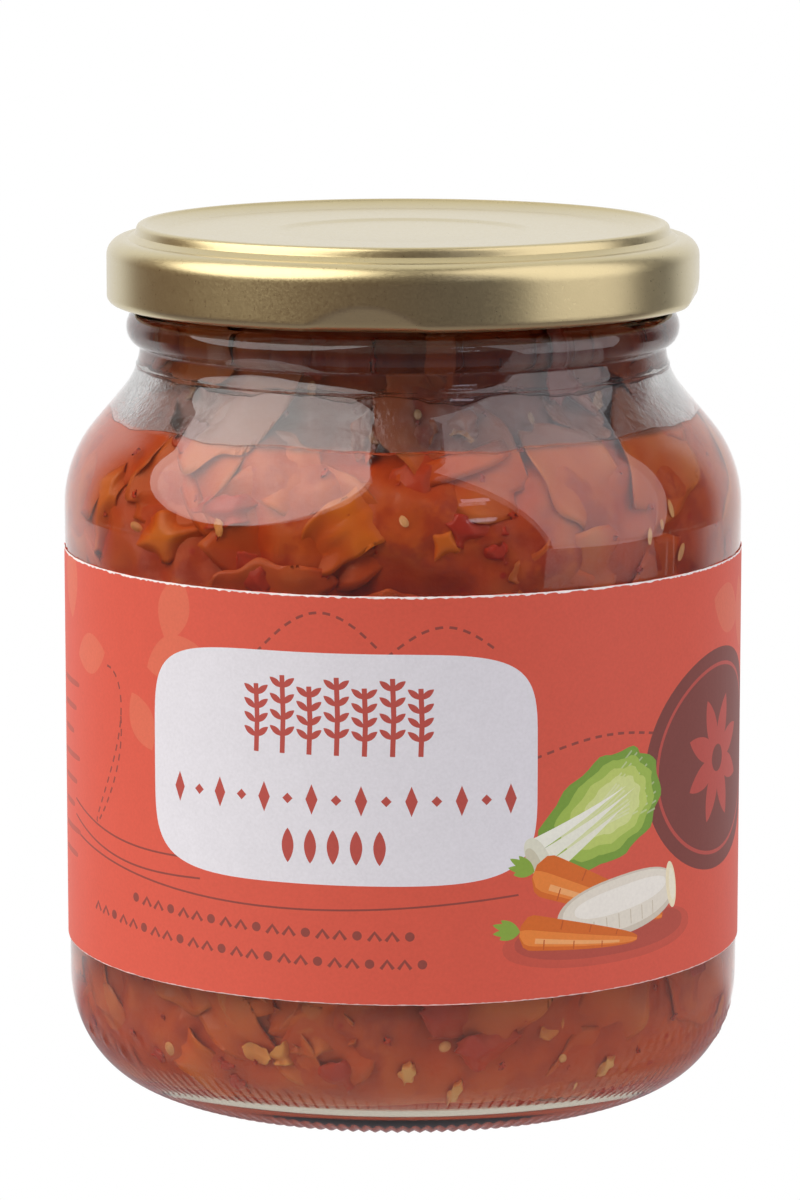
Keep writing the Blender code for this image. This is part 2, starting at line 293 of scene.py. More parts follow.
def glass_outline(jar):
    """Up the inside, over the rim, down the outside and under the base."""
    rim_half = 0.5 * jar.wall
    rim_center = (jar.neck_radius - rim_half, jar.rim_top - rim_half)
    bead_size = (jar.bead_radius - jar.neck_radius, 0.5 * jar.bead_height)
    bead = arc((jar.neck_radius, jar.bead_middle), bead_size, 90, -90, 14)
    low_radius = jar.body_radius - jar.body_taper
    edge = 0.3 * MM
    panel_high = label_high.z + edge
    panel_low = label_low.z - edge
    body = [
        (low_radius, panel_low - edge),
        (low_radius - jar.panel_depth, panel_low),
        (jar.body_radius - jar.panel_depth, panel_high),
        (jar.body_radius, panel_high + edge),
    ]
    heel_size = (low_radius - jar.bearing_radius, jar.heel_height)
    heel = arc((jar.bearing_radius, jar.heel_height), heel_size, -90, 0, 34)
    upper = seam(shoulder_outline(jar, 0.0), jar.seam_height, jar.seam_rise)
    bearing_inner = jar.bearing_radius - jar.bearing_width
    hollow = [
        (bearing_inner, 0.0),
        (bearing_inner - 0.5 * MM, 0.25 * jar.push_up),
        (bearing_inner - 1.4 * MM, 0.55 * jar.push_up),
        (0.55 * jar.bearing_radius, 0.85 * jar.push_up),
        (0.0, jar.push_up),
    ]
    outside = heel + body + upper[:-1] + bead[::-1]
    return wall_outline(jar) + arc(rim_center, rim_half, 180, 0, 8) + outside[::-1] + hollow


def lid_outline(lid):
    """Over the top, down the skirt, round the hem and back along the inside."""
    crest = lid_high.z
    flat = crest - lid.panel_drop
    shoulder = crest - lid.shoulder_drop
    rim = lid.panel_radius
    top = [
        (0.0, flat - lid.button_drop),
        (lid.button_radius - 0.4 * MM, flat - lid.button_drop),
        (lid.button_radius + 0.2 * MM, flat - 0.8 * lid.button_drop),
        (lid.button_radius + 1.0 * MM, flat - 0.1 * lid.button_drop),
        (lid.button_radius + 1.6 * MM, flat),
        (lid.flat_radius - 0.3 * MM, flat),
        (lid.flat_radius + 0.3 * MM, flat + 0.06 * MM),
        (rim - 1.7 * MM, flat + 0.55 * MM),
        (rim - 1.2 * MM, flat + 0.8 * MM),
    ]
    crown = arc((rim - 0.75 * MM, crest - 0.6 * MM), (0.7 * MM, 0.6 * MM), 120, 10, 7)
    foot = [
        (rim + 0.06 * MM, crest - 0.9 * MM),
        (rim + 0.18 * MM, shoulder + 0.18 * MM),
        (rim + 0.32 * MM, shoulder - 0.06 * MM),
        (rim + 0.55 * MM, shoulder - 0.17 * MM),
        (rim + 0.85 * MM, shoulder - 0.12 * MM),
        (rim + 1.15 * MM, shoulder - 0.02 * MM),
    ]
    round_center = (lid.radius - lid.round_radius, shoulder - lid.round_radius)
    skirt = arc(round_center, lid.round_radius, 90, 0, 12)
    skirt += straight(skirt[-1], (lid.radius, lid.low_edge + lid.hem_radius), 14)
    hem_center = (lid.radius - lid.hem_radius, lid.low_edge + lid.hem_radius)
    hem = arc(hem_center, lid.hem_radius, -12, -200, 12)
    inner = lid.radius - lid.sheet
    inside_center = (round_center[0], round_center[1])
    inside = [(inner, lid.low_edge + 2.4 * lid.hem_radius)]
    inside += arc(inside_center, lid.round_radius - lid.sheet, 0, 90, 5)
    inside += [
        (rim - lid.sheet, crest - 0.9 * MM),
        (rim - 0.8 * MM, crest - lid.sheet),
        (lid.flat_radius, flat - lid.sheet),
        (0.0, flat - lid.sheet - lid.button_drop),
    ]
    return top + crown + foot + skirt + hem + inside


def straight(start, end, steps):
    """The points after start on the way to end."""
    return [
        (
            start[0] + (end[0] - start[0]) * i / steps,
            start[1] + (end[1] - start[1]) * i / steps,
        )
        for i in range(1, steps + 1)
    ]


def brine_outline(jar, kimchi):
    """The brine from the middle of its floor up the glass, round the air pocket and to its top."""
    wall = wall_outline(jar, kimchi.brine_reach)
    radii, heights = zip(*wall[2:])
    level, ceiling, top = kimchi.brine_level, kimchi.pocket_top, kimchi.brine_top
    hidden = 5.0 * MM

    def at(height, inset=0.0):
        return float(np.interp(height, heights, radii)) - inset, height

    outline = [p for p in wall if p[1] < level - 1.2 * MM]
    outline += [at(level + lift * MM) for lift in (-0.6, 0.0, 0.35, 0.6)]
    outline += [at(level + lift * MM, inset * MM) for lift, inset in ((0.3, 0.35), (0.08, 0.9), (0.0, 1.8))]
    outline += [at(level, hidden), at(ceiling, hidden)]
    outline += [at(ceiling - lift * MM, inset * MM) for lift, inset in ((0.0, 1.8), (0.1, 0.8), (0.3, 0.3))]
    outline += [at(ceiling - 0.5 * MM), at(ceiling - 0.2 * MM), at(ceiling + 0.4 * MM)]
    outline += [p for p in wall if ceiling + 0.9 * MM < p[1] < top - 0.5 * MM]
    return outline + [at(top), (0.0, top)]


def core_outline(jar):
    """The heap's core against the glass, before it is dented."""
    wall = wall_outline(jar, -0.35 * MM)
    top = heap_high.z - 1.0 * MM
    points = [p for p in wall[2:] if p[1] < top] + [(wall[-1][0], top)]
    side = []
    for low, high in zip(points, points[1:]):
        steps = max(1, round(math.dist(low, high) / (1.1 * MM)))
        side += [low] + straight(low, high, steps)[:-1]
    neck = points[-1][0]
    crown = [(neck - 0.4 * MM, top + 0.5 * MM), (neck - 2.0 * MM, top + 0.9 * MM)]
    return wall[:2] + side + crown + [(0.7 * neck, top + 0.9 * MM), (0.0, top + 0.9 * MM)]


# Node trees


class Nodes:
    """Adds nodes to one tree. An input is given as a value or as another node's output."""

    def __init__(self, tree):
        self.tree = tree

    def add(self, kind, inputs=None, **settings):
        node = self.tree.nodes.new(kind)
        for key, value in settings.items():
            setattr(node, key, value)
        for key, value in (inputs or {}).items():
            self.feed(node.inputs[key], value)
        return node

    def feed(self, socket, value):
        if isinstance(value, bpy.types.Node):
            value = value.outputs[0]
        if isinstance(value, bpy.types.NodeSocket):
            self.tree.links.new(value, socket)
        else:
            socket.default_value = value

    def math(self, operation, *values):
        node = self.add("ShaderNodeMath", operation=operation)
        for socket, value in zip(node.inputs, values):
            self.feed(socket, value)
        return node.outputs[0]

    def vector(self, operation, *values):
        node = self.add("ShaderNodeVectorMath", operation=operation)
        for socket, value in zip(node.inputs, values):
            self.feed(socket, value)
        return node.outputs["Value" if operation in ("LENGTH", "DOT_PRODUCT") else "Vector"]

    def ramp(self, value, low, high, to_low=0.0, to_high=1.0, smooth=True):
        """Value's place between low and high, moved to between to_low and to_high."""
        given = {"Value": value, "From Min": low, "From Max": high, "To Min": to_low, "To Max": to_high}
        kind = "SMOOTHSTEP" if smooth else "LINEAR"
        return self.add("ShaderNodeMapRange", given, interpolation_type=kind).outputs["Result"]

    def mix(self, factor, first, second, blend="MIX"):
        node = self.add("ShaderNodeMix", data_type="RGBA", blend_type=blend)
        for index, value in ((0, factor), (6, first), (7, second)):
            if isinstance(value, (tuple, list)) or hasattr(value, "r") or type(value).__name__ == "bpy_prop_array":
                value = (*value[:3], 1.0)
            self.feed(node.inputs[index], value)
        return node.outputs[2]

    def noise(self, place, scale, detail=2.0, roughness=0.5):
        given = {"Vector": place, "Scale": scale, "Detail": detail, "Roughness": roughness}
        return self.add("ShaderNodeTexNoise", given).outputs[0]

    def combine(self, x, y, z):
        return self.add("ShaderNodeCombineXYZ", {"X": x, "Y": y, "Z": z}).outputs[0]

    def separate(self, vector):
        return self.add("ShaderNodeSeparateXYZ", {"Vector": vector}).outputs

    def curve(self, value, points):
        """A value read off a line through points, both between 0 and 1."""
        node = self.add("ShaderNodeFloatCurve", {"Value": value})
        line = node.mapping.curves[0]
        line.points[0].location = points[0]
        line.points[1].location = points[-1]
        for point in points[1:-1]:
            line.points.new(*point)
        for point in line.points:
            point.handle_type = "VECTOR"
        node.mapping.update()
        return node.outputs[0]


SOCKETS = {
    "geometry": "NodeSocketGeometry",
    "number": "NodeSocketInt",
    "value": "NodeSocketFloat",
    "vector": "NodeSocketVector",
    "color": "NodeSocketColor",
    "material": "NodeSocketMaterial",
    "collection": "NodeSocketCollection",
}


def node_group(name, kind, inputs, outputs):
    """A new group with named sockets, its input node and its output node."""
    tree = bpy.data.node_groups.new(name, kind)
    for direction, sockets in (("INPUT", inputs), ("OUTPUT", outputs)):
        for socket_name, socket_kind in sockets.items():
            tree.interface.new_socket(socket_name, in_out=direction, socket_type=SOCKETS[socket_kind])
    nodes = Nodes(tree)
    return nodes, nodes.add("NodeGroupInput").outputs, nodes.add("NodeGroupOutput").inputs


def grown(name, tree, settings, mesh=None):
    """The mesh that a geometry node tree makes, as a plain object at the origin."""
    obj = bpy.data.objects.new(name, mesh or bpy.data.meshes.new(name))
    bpy.context.scene.collection.objects.link(obj)
    modifier = obj.modifiers.new(tree.name, "NODES")
    modifier.node_group = tree
    for item in tree.interface.items_tree:
        if item.in_out == "INPUT" and item.name in settings:
            modifier[item.identifier] = settings[item.name]
    flatten(obj)
    if len(obj.data.polygons) == 0:
        raise RuntimeError(f"{name} came out empty")
    return obj


def flatten(obj):
    """Replaces the object's mesh by the one that its modifiers make."""
    graph = bpy.context.evaluated_depsgraph_get()
    graph.update()
    mesh = bpy.data.meshes.new_from_object(obj.evaluated_get(graph))
    obj.modifiers.clear()
    obj.data = mesh


def outline_mesh(name, outline):
    mesh = bpy.data.meshes.new(name)
    mesh.from_pydata([(r, 0.0, z) for r, z in outline], [], [])
    return mesh


def turned(nodes, outline, segments):
    """A grid for the outline turned round Z, with each point's angle, radius and height."""
    count = nodes.add("GeometryNodeAttributeDomainSize", {"Geometry": outline})
    around = nodes.math("ADD", segments, 1.0)
    grid = nodes.add(
        "GeometryNodeMeshGrid",
        {"Size X": 1.0, "Size Y": 1.0, "Vertices X": count.outputs["Point Count"], "Vertices Y": around},
    )
    index = nodes.add("GeometryNodeInputIndex").outputs[0]
    row = nodes.math("FLOOR", nodes.math("DIVIDE", nodes.math("ADD", index, 0.5), around))
    column = nodes.math("SUBTRACT", index, nodes.math("MULTIPLY", row, around))
    place = nodes.add("GeometryNodeInputPosition")
    sample = nodes.add(
        "GeometryNodeSampleIndex",
        {"Geometry": outline, "Value": place, "Index": row},
        data_type="FLOAT_VECTOR",
        domain="POINT",
    )
    x, y, z = nodes.separate(sample)
    turn = nodes.math("MULTIPLY", nodes.math("DIVIDE", column, segments), TURN)
    return grid.outputs["Mesh"], turn, x, z


def wound(nodes, grid, turn, radius, height):
    """The grid moved to those places, with its seam and poles closed."""
    across = nodes.math("MULTIPLY", radius, nodes.math("SINE", turn))
    along = nodes.math("MULTIPLY", radius, nodes.math("MULTIPLY", nodes.math("COSINE", turn), -1.0))
    place = nodes.combine(across, along, height)
    moved = nodes.add("GeometryNodeSetPosition", {"Geometry": grid, "Position": place})
    return nodes.add("GeometryNodeMergeByDistance", {"Geometry": moved, "Distance": 0.002 * MM})


def ended(nodes, geometry, finish, output, flip=False):
    """Closes a tree: smooth faces that look outwards, real geometry and its material."""
    if flip:
        geometry = nodes.add("GeometryNodeFlipFaces", {"Mesh": geometry})
    smooth = nodes.add("GeometryNodeSetShadeSmooth", {"Geometry": geometry})
    real = nodes.add("GeometryNodeRealizeInstances", {"Geometry": smooth})
    coated = nodes.add("GeometryNodeSetMaterial", {"Geometry": real, "Material": finish})
    nodes.feed(output, coated)


def shifted(nodes, geometry, distance):
    """The geometry moved outwards along its normals."""
    normal = nodes.add("GeometryNodeInputNormal")
    offset = nodes.add("ShaderNodeVectorMath", {0: normal, "Scale": distance}, operation="SCALE")
    return nodes.add("GeometryNodeSetPosition", {"Geometry": geometry, "Offset": offset})


def around_angle(nodes):
    """The angle of a point round Z, from the front, growing to the right, 0 to a full turn."""
    x, y, z = nodes.separate(nodes.add("GeometryNodeInputPosition"))
    turn = nodes.math("ARCTAN2", x, nodes.math("MULTIPLY", y, -1.0))
    return nodes.math("WRAP", turn, TURN, 0.0), z, nodes.math("SQRT", nodes.math("ADD", nodes.math("MULTIPLY", x, x), nodes.math("MULTIPLY", y, y)))


def glass_tree(jar):
    """Glass turned from its outline, with a knurled foot, raised dots and mould marks."""
    inputs = {
        "Outline": "geometry",
        "Segments": "number",
        "Knurls": "number",
        "Knurl Depth": "value",
        "Dot Rise": "value",
        "Dots Start": "value",
        "Dots End": "value",
        "Material": "material",
    }
    nodes, given, result = node_group("Pressed Glass", "GeometryNodeTree", inputs, {"Glass": "geometry"})
    grid, turn, radius, height = turned(nodes, given["Outline"], given["Segments"])
    wave = nodes.math("COSINE", nodes.math("MULTIPLY", turn, given["Knurls"]))
    foot = nodes.math(
        "MULTIPLY",
        nodes.ramp(height, 2.6 * MM, 0.5 * MM),
        nodes.ramp(radius, jar.bearing_radius - 1.2 * MM, jar.bearing_radius - 0.2 * MM),
    )
    lift = nodes.math("MULTIPLY", nodes.ramp(wave, -1.0, 1.0), given["Knurl Depth"])
    height = nodes.math("ADD", height, nodes.math("MULTIPLY", lift, foot))
    glass = wound(nodes, grid, turn, radius, height)
    turn, height, radius = around_angle(nodes)
    outer = nodes.ramp(radius, jar.bearing_radius - 0.5 * MM, jar.bearing_radius, smooth=False)
    rows = None
    for row, level in enumerate((9.4 * MM, 7.9 * MM, 6.4 * MM)):
        phase = 0.5 * TURN if row % 2 else 0.0
        wave = nodes.math("COSINE", nodes.math("ADD", nodes.math("MULTIPLY", turn, given["Knurls"]), phase))
        away = nodes.math("ABSOLUTE", nodes.math("SUBTRACT", height, level))
        dot = nodes.math("MULTIPLY", nodes.ramp(wave, 0.1, 1.0), nodes.ramp(away, 0.6 * MM, 0.05 * MM))
        rows = dot if rows is None else nodes.math("MAXIMUM", rows, dot)
    inside = nodes.math(
        "MULTIPLY",
        nodes.math("GREATER_THAN", turn, given["Dots Start"]),
        nodes.math("LESS_THAN", turn, given["Dots End"]),
    )
    bump = nodes.math("MULTIPLY", nodes.math("MULTIPLY", rows, inside), given["Dot Rise"])
    for degrees, level in ((-70.0, 8.3), (-63.5, 8.0), (-57.0, 7.5)):
        mark = mould_mark(nodes, turn, height, math.radians(degrees), level * MM, 1.15 * MM)
        bump = nodes.math("ADD", bump, nodes.math("MULTIPLY", mark, 0.2 * MM))
    ring = mould_mark(nodes, turn, height, math.radians(51.0), 14.6 * MM, 1.6 * MM)
    ring = nodes.math("MULTIPLY", ring, nodes.ramp(ring, 0.98, 0.5))
    bump = nodes.math("ADD", bump, nodes.math("MULTIPLY", ring, 0.25 * MM))
    glass = shifted(nodes, glass, nodes.math("MULTIPLY", bump, outer))
    ended(nodes, glass, given["Material"], result["Glass"])
    return nodes.tree


def mould_mark(nodes, turn, height, at, level, size):
    """1 in the middle of a round mark on the glass, falling to 0 at its edge."""
    away = nodes.math("WRAP", nodes.math("SUBTRACT", turn, at), math.pi, -math.pi)
    across = nodes.math("MULTIPLY", away, 41.0 * MM)
    up = nodes.math("SUBTRACT", height, level)
    far = nodes.vector("LENGTH", nodes.combine(across, up, 0.0))
    return nodes.ramp(far, size, 0.2 * size)


def lid_tree(lid):
    """The lid turned from its outline, with flats pressed in over the lugs."""
    inputs = {
        "Outline": "geometry",
        "Segments": "number",
        "Lugs": "number",
        "Lug Turn": "value",
        "Lug Height": "value",
        "Lug Press": "value",
        "Material": "material",
    }
    nodes, given, result = node_group("Pressed Lid", "GeometryNodeTree", inputs, {"Lid": "geometry"})
    grid, turn, radius, height = turned(nodes, given["Outline"], given["Segments"])
    spacing = nodes.math("DIVIDE", TURN, given["Lugs"])
    half = nodes.math("MULTIPLY", spacing, 0.5)
    away = nodes.math("SUBTRACT", turn, given["Lug Turn"])
    away = nodes.math("WRAP", away, half, nodes.math("MULTIPLY", half, -1.0))
    top = nodes.math("ADD", lid.low_edge, given["Lug Height"])
    depth = nodes.math("DIVIDE", nodes.math("SUBTRACT", top, height), given["Lug Height"])
    pressed = nodes.math("SUBTRACT", lid.radius, nodes.math("MULTIPLY", depth, given["Lug Press"]))
    flat = nodes.math("DIVIDE", pressed, nodes.math("COSINE", away))
    dent = nodes.add("ShaderNodeMath", {0: 0.0, 1: nodes.math("SUBTRACT", lid.radius, flat), 2: 0.08 * MM})
    dent.operation = "SMOOTH_MAX"
    low = nodes.math("LESS_THAN", height, top)
    skirt = nodes.math("GREATER_THAN", radius, lid.radius - 3.0 * MM)
    dent = nodes.math("MULTIPLY", dent, nodes.math("MULTIPLY", low, skirt))
    lid_mesh = wound(nodes, grid, turn, nodes.math("SUBTRACT", radius, dent), height)
    ended(nodes, lid_mesh, given["Material"], result["Lid"])
    return nodes.tree


def brine_tree(jar, kimchi):
    """The brine turned from its outline, its surface and the pocket's top a little uneven."""
    inputs = {
        "Outline": "geometry",
        "Segments": "number",
        "Unevenness": "value",
        "Pocket Unevenness": "value",
        "Material": "material",
    }
    nodes, given, result = node_group("Brine", "GeometryNodeTree", inputs, {"Brine": "geometry"})
    grid, turn, radius, height = turned(nodes, given["Outline"], given["Segments"])
    ring = nodes.combine(nodes.math("SINE", turn), nodes.math("COSINE", turn), 0.0)
    lift = None
    for level, reach, waves, amount in (
        (kimchi.brine_level, 3.0 * MM, 2.6, given["Unevenness"]),
        (kimchi.pocket_top, 5.0 * MM, 3.7, given["Pocket Unevenness"]),
    ):
        wave = nodes.ramp(nodes.noise(ring, waves, 3.0), 0.3, 0.7, -1.0, 1.0, smooth=False)
        away = nodes.math("ABSOLUTE", nodes.math("SUBTRACT", height, level))
        part = nodes.math("MULTIPLY", nodes.math("MULTIPLY", wave, amount), nodes.ramp(away, reach, 1.0 * MM))
        lift = part if lift is None else nodes.math("ADD", lift, part)
    side = nodes.ramp(radius, 10.0 * MM, 24.0 * MM)
    moved = nodes.math("ADD", height, nodes.math("MULTIPLY", lift, side))
    shift = nodes.math("SUBTRACT", wall_radius(nodes, jar, moved), wall_radius(nodes, jar, height))
    brine = wound(nodes, grid, turn, nodes.math("ADD", radius, shift), moved)
    ended(nodes, brine, given["Material"], result["Brine"], flip=True)
    return nodes.tree


def core_tree(kimchi):
    """The heap's core: its outline turned, then dented by noise that only goes inwards."""
    inputs = {"Outline": "geometry", "Segments": "number", "Dents": "value", "Material": "material"}
    nodes, given, result = node_group("Heap Core", "GeometryNodeTree", inputs, {"Core": "geometry"})
    grid, turn, radius, height = turned(nodes, given["Outline"], given["Segments"])
    core = wound(nodes, grid, turn, radius, height)
    place = nodes.add("GeometryNodeInputPosition").outputs[0]
    large = nodes.ramp(nodes.noise(place, 70.0, 2.0), 0.34, 0.66)
    small = nodes.ramp(nodes.noise(place, 240.0, 3.0), 0.3, 0.7)
    x, y, z = nodes.separate(place)
    pocket = nodes.math(
        "MULTIPLY",
        nodes.ramp(z, kimchi.brine_level - 2.0 * MM, kimchi.brine_level),
        nodes.ramp(z, kimchi.pocket_top, kimchi.pocket_top - 2.0 * MM),
    )
    heel = nodes.ramp(z, 6.0 * MM, 14.0 * MM, 0.25, 1.0)
    dent = nodes.math("ADD", nodes.math("MULTIPLY", large, 0.75), nodes.math("MULTIPLY", small, 0.25))
    dent = nodes.math("MULTIPLY", dent, nodes.math("ADD", heel, nodes.math("MULTIPLY", pocket, 0.4)))
    dent = nodes.math("MULTIPLY", dent, given["Dents"])
    side = nodes.ramp(nodes.vector("LENGTH", nodes.combine(x, y, 0.0)), 20.0 * MM, 28.0 * MM)
    dent = nodes.math("MULTIPLY", dent, side)
    ended(nodes, shifted(nodes, core, dent), given["Material"], result["Core"], flip=True)
    return nodes.tree


def wall_points(jar):
    """The glass's inner outline, as shares of the greatest height and radius."""
    wall = [(z / MOST_HEIGHT, r / MOST_RADIUS) for r, z in wall_outline(jar)[2:]]
    kept = [(0.0, wall[0][1])]
    for point in wall:
        if point[0] - kept[-1][0] > 0.004:
            kept.append(point)
    return kept + [(1.0, kept[-1][1])]


MOST_HEIGHT = 120.0 * MM
MOST_RADIUS = 50.0 * MM
UNROLLED = 40.0 * MM  # radius at which pieces are laid out flat before they are bent to the wall


def wall_radius(nodes, jar, height):
    """The glass's inner radius at a height."""
    read = nodes.curve(nodes.math("DIVIDE", height, MOST_HEIGHT), wall_points(jar))
    return nodes.math("MULTIPLY", read, MOST_RADIUS)


def bend_group(jar):
    """Pieces laid flat over the unrolled wall, bent to the inside of the glass."""
    inputs = {"Pieces": "geometry", "Clearance": "value", "Top": "value"}
    nodes, given, result = node_group("Bent To Glass", "GeometryNodeTree", inputs, {"Pieces": "geometry"})
    x, y, z = nodes.separate(nodes.add("GeometryNodeInputPosition"))
    z = nodes.math("SMOOTH_MIN", z, nodes.math("MULTIPLY", given["Clearance"], -1.0), 0.25 * MM)
    lowest = jar.floor_height + 0.7 * MM
    y = nodes.math("MINIMUM", nodes.math("MAXIMUM", y, lowest), given["Top"])
    radius = nodes.math("ADD", wall_radius(nodes, jar, y), z)
    turn = nodes.math("DIVIDE", x, UNROLLED)
    back = nodes.math("MULTIPLY", nodes.math("COSINE", turn), -1.0)
    across = nodes.math("MULTIPLY", radius, nodes.math("SINE", turn))
    place = nodes.combine(across, nodes.math("MULTIPLY", radius, back), y)
    bent = nodes.add("GeometryNodeSetPosition", {"Geometry": given["Pieces"], "Position": place})
    nodes.feed(result["Pieces"], bent)
    return nodes.tree


def pieces_tree(jar):
    """Shapes at given places and scattered over the wall, bent to the inside of the glass."""
    inputs = {
        "Places": "geometry",
        "Shapes": "collection",
        "Count": "number",
        "Seed": "number",
        "Low": "value",
        "High": "value",
        "Start": "value",
        "End": "value",
        "Turn": "value",
        "Tilt": "value",
        "Smallest": "value",
        "Largest": "value",
        "Shallow": "value",
        "Deep": "value",
        "Clearance": "value",
        "Top": "value",
        "Material": "material",
    }
    nodes, given, result = node_group("Laid Pieces", "GeometryNodeTree", inputs, {"Pieces": "geometry"})

    def chance(low, high, salt):
        seed = nodes.math("ADD", given["Seed"], float(salt))
        return nodes.add("FunctionNodeRandomValue", {2: low, 3: high, 8: seed}, data_type="FLOAT").outputs[1]

    def less(value):
        return nodes.math("MULTIPLY", value, -1.0)

    def keep(geometry, name, kind, value, domain="POINT"):
        stored = {"Geometry": geometry, "Name": name, "Value": value}
        return nodes.add("GeometryNodeStoreNamedAttribute", stored, data_type=kind, domain=domain)

    def kept(name, kind):
        return nodes.add("GeometryNodeInputNamedAttribute", {"Name": name}, data_type=kind)

    index = nodes.add("GeometryNodeInputIndex").outputs[0]
    start = nodes.math("MULTIPLY", given["Seed"], 0.3719)
    # Steps of these two shares spread points evenly over a rectangle, however many there are
    across = nodes.math("FRACT", nodes.math("ADD", start, nodes.math("MULTIPLY", index, 0.7548777)))
    up = nodes.math("FRACT", nodes.math("ADD", start, nodes.math("MULTIPLY", index, 0.5698403)))
    turn = nodes.ramp(across, 0.0, 1.0, given["Start"], given["End"], smooth=False)
    height = nodes.ramp(up, 0.0, 1.0, given["Low"], given["High"], smooth=False)
    depth = less(chance(given["Shallow"], given["Deep"], 1))
    place = nodes.combine(nodes.math("MULTIPLY", turn, UNROLLED), height, depth)
    points = nodes.add("GeometryNodePoints", {"Count": given["Count"], "Position": place})
    scale = chance(given["Smallest"], given["Largest"], 5)
    points = keep(points, "Spin", "FLOAT", chance(less(given["Turn"]), given["Turn"], 4))
    points = keep(points, "Size", "FLOAT_VECTOR", nodes.combine(scale, scale, scale))
    placed = nodes.add("GeometryNodeMeshToPoints", {"Mesh": given["Places"]})
    both = nodes.add("GeometryNodeJoinGeometry")
    for part in (placed, points):
        nodes.tree.links.new(part.outputs[0], both.inputs[0])
    shapes = nodes.add(
        "GeometryNodeCollectionInfo",
        {"Collection": given["Shapes"], "Separate Children": True, "Reset Children": True},
    )
    tilt = given["Tilt"]
    angles = nodes.combine(chance(less(tilt), tilt, 2), chance(less(tilt), tilt, 3), kept("Spin", "FLOAT"))
    pick = nodes.add("FunctionNodeRandomValue", {4: 0, 5: 99, 8: given["Seed"]}, data_type="INT").outputs[2]
    laid = nodes.add(
        "GeometryNodeInstanceOnPoints",
        {
            "Points": both,
            "Instance": shapes,
            "Pick Instance": True,
            "Instance Index": pick,
            "Rotation": nodes.add("FunctionNodeEulerToRotation", {0: angles}),
            "Scale": kept("Size", "FLOAT_VECTOR"),
        },
    )
    tone = keep(laid, "Tone", "FLOAT", chance(0.0, 1.0, 6), "INSTANCE")
    real = nodes.add("GeometryNodeRealizeInstances", {"Geometry": tone})
    bent = nodes.add("GeometryNodeGroup", node_tree=shared("Bent To Glass", bend_group, jar))
    for name, value in (("Pieces", real), ("Clearance", given["Clearance"]), ("Top", given["Top"])):
        nodes.feed(bent.inputs[name], value)
    ended(nodes, bent, given["Material"], result["Pieces"])
    return nodes.tree


# Materials


def grain_group():
    """Fine two-scale noise round 1, for print, paper and lacquer."""
    inputs = {"Scale": "value", "Amount": "value"}
    nodes, given, result = node_group("Grain", "ShaderNodeTree", inputs, {"Factor": "value", "Height": "value"})
    place = nodes.add("ShaderNodeTexCoord").outputs["Object"]
    fine = nodes.noise(place, given["Scale"], 2.0)
    broad = nodes.noise(place, nodes.math("MULTIPLY", given["Scale"], 0.12), 3.0)
    both = nodes.math("ADD", nodes.math("MULTIPLY", fine, 0.7), nodes.math("MULTIPLY", broad, 0.3))
    centred = nodes.math("MULTIPLY", nodes.math("SUBTRACT", both, 0.5), given["Amount"])
    nodes.feed(result["Factor"], nodes.math("ADD", centred, 1.0))
    nodes.feed(result["Height"], fine)
    return nodes.tree


def veil_and_shade_group(jar, kimchi):
    """Darkens a piece above the brine with painted shade, and fades it to what lies round it, the deeper it lies:
    cloudy brine below, painted shade in the gaps above the brine and in the neck.
    """
    inputs = {"Colour": "color", "Clear Depth": "value"}
    nodes, given, result = node_group("Brine Veil And Shade", "ShaderNodeTree", inputs, {"Colour": "color"})
    place = nodes.add("ShaderNodeTexCoord").outputs["Object"]
    x, y, z = nodes.separate(place)
    radius = nodes.vector("LENGTH", nodes.combine(x, y, 0.0))
    depth = nodes.math("MAXIMUM", nodes.math("SUBTRACT", wall_radius(nodes, jar, z), radius), 0.0)
    share_deep = nodes.math("DIVIDE", nodes.math("MULTIPLY", depth, -1.0), given["Clear Depth"])
    factor = nodes.math("SUBTRACT", 1.0, nodes.math("EXPONENT", share_deep))
    behind = nodes.add("ShaderNodeValToRGB", {"Fac": nodes.math("DIVIDE", z, MOST_HEIGHT)})
    level, pocket = kimchi.brine_level, kimchi.pocket_top
    # Colours that deep pieces fade to, by height: cloudy brine below, painted shade in the gaps above the brine and in
    # the neck.
    stops = (
        (5.0 * MM, kimchi.heel_murk),
        # Painted shade of the label: the murk over the top of the heel is darker than the heel murk.
        (13.0 * MM, kimchi.shaded_murk),
        (20.0 * MM, kimchi.shaded_murk),
        (level - 12.0 * MM, kimchi.deep_murk),
        (level - 0.3 * MM, kimchi.top_murk),
        (level + 0.3 * MM, kimchi.pocket_shade),
        (pocket - 1.0 * MM, kimchi.pocket_shade),
        (pocket + 0.5 * MM, kimchi.neck_murk_and_shade),
    )
    marks = behind.color_ramp.elements
    for _ in stops[2:]:
        marks.new(0.5)
    for mark, (height, tint) in zip(marks, stops):
        mark.position = height / MOST_HEIGHT
        mark.color = (*tint, 1.0)
    # Painted shade: pieces above the brine are darkened.
    shade_above_brine = nodes.ramp(z, level - 0.3 * MM, level + 0.5 * MM)
    darker = nodes.mix(shade_above_brine, (1.0, 1.0, 1.0), kimchi.above_brine_shade)
    tint = nodes.mix(1.0, given["Colour"], darker, blend="MULTIPLY")
    nodes.feed(result["Colour"], nodes.mix(factor, tint, behind.outputs["Color"]))
    return nodes.tree


def new_material(name):
    made = bpy.data.materials.new(name)
    made.use_nodes = True
    nodes = Nodes(made.node_tree)
    return made, nodes, made.node_tree.nodes["Principled BSDF"]


def lamps_pass(nodes, shader):
    """Lets lamp light and scattered light through clear glass unbent."""
    path = nodes.add("ShaderNodeLightPath").outputs
    factor = nodes.math("MAXIMUM", path["Is Shadow Ray"], path["Is Diffuse Ray"])
    clear = nodes.add("ShaderNodeBsdfTransparent")
    mixed = nodes.add("ShaderNodeMixShader", {0: factor, 1: shader, 2: clear})
    output = nodes.tree.nodes["Material Output"]
    nodes.feed(output.inputs["Surface"], mixed)
    return output


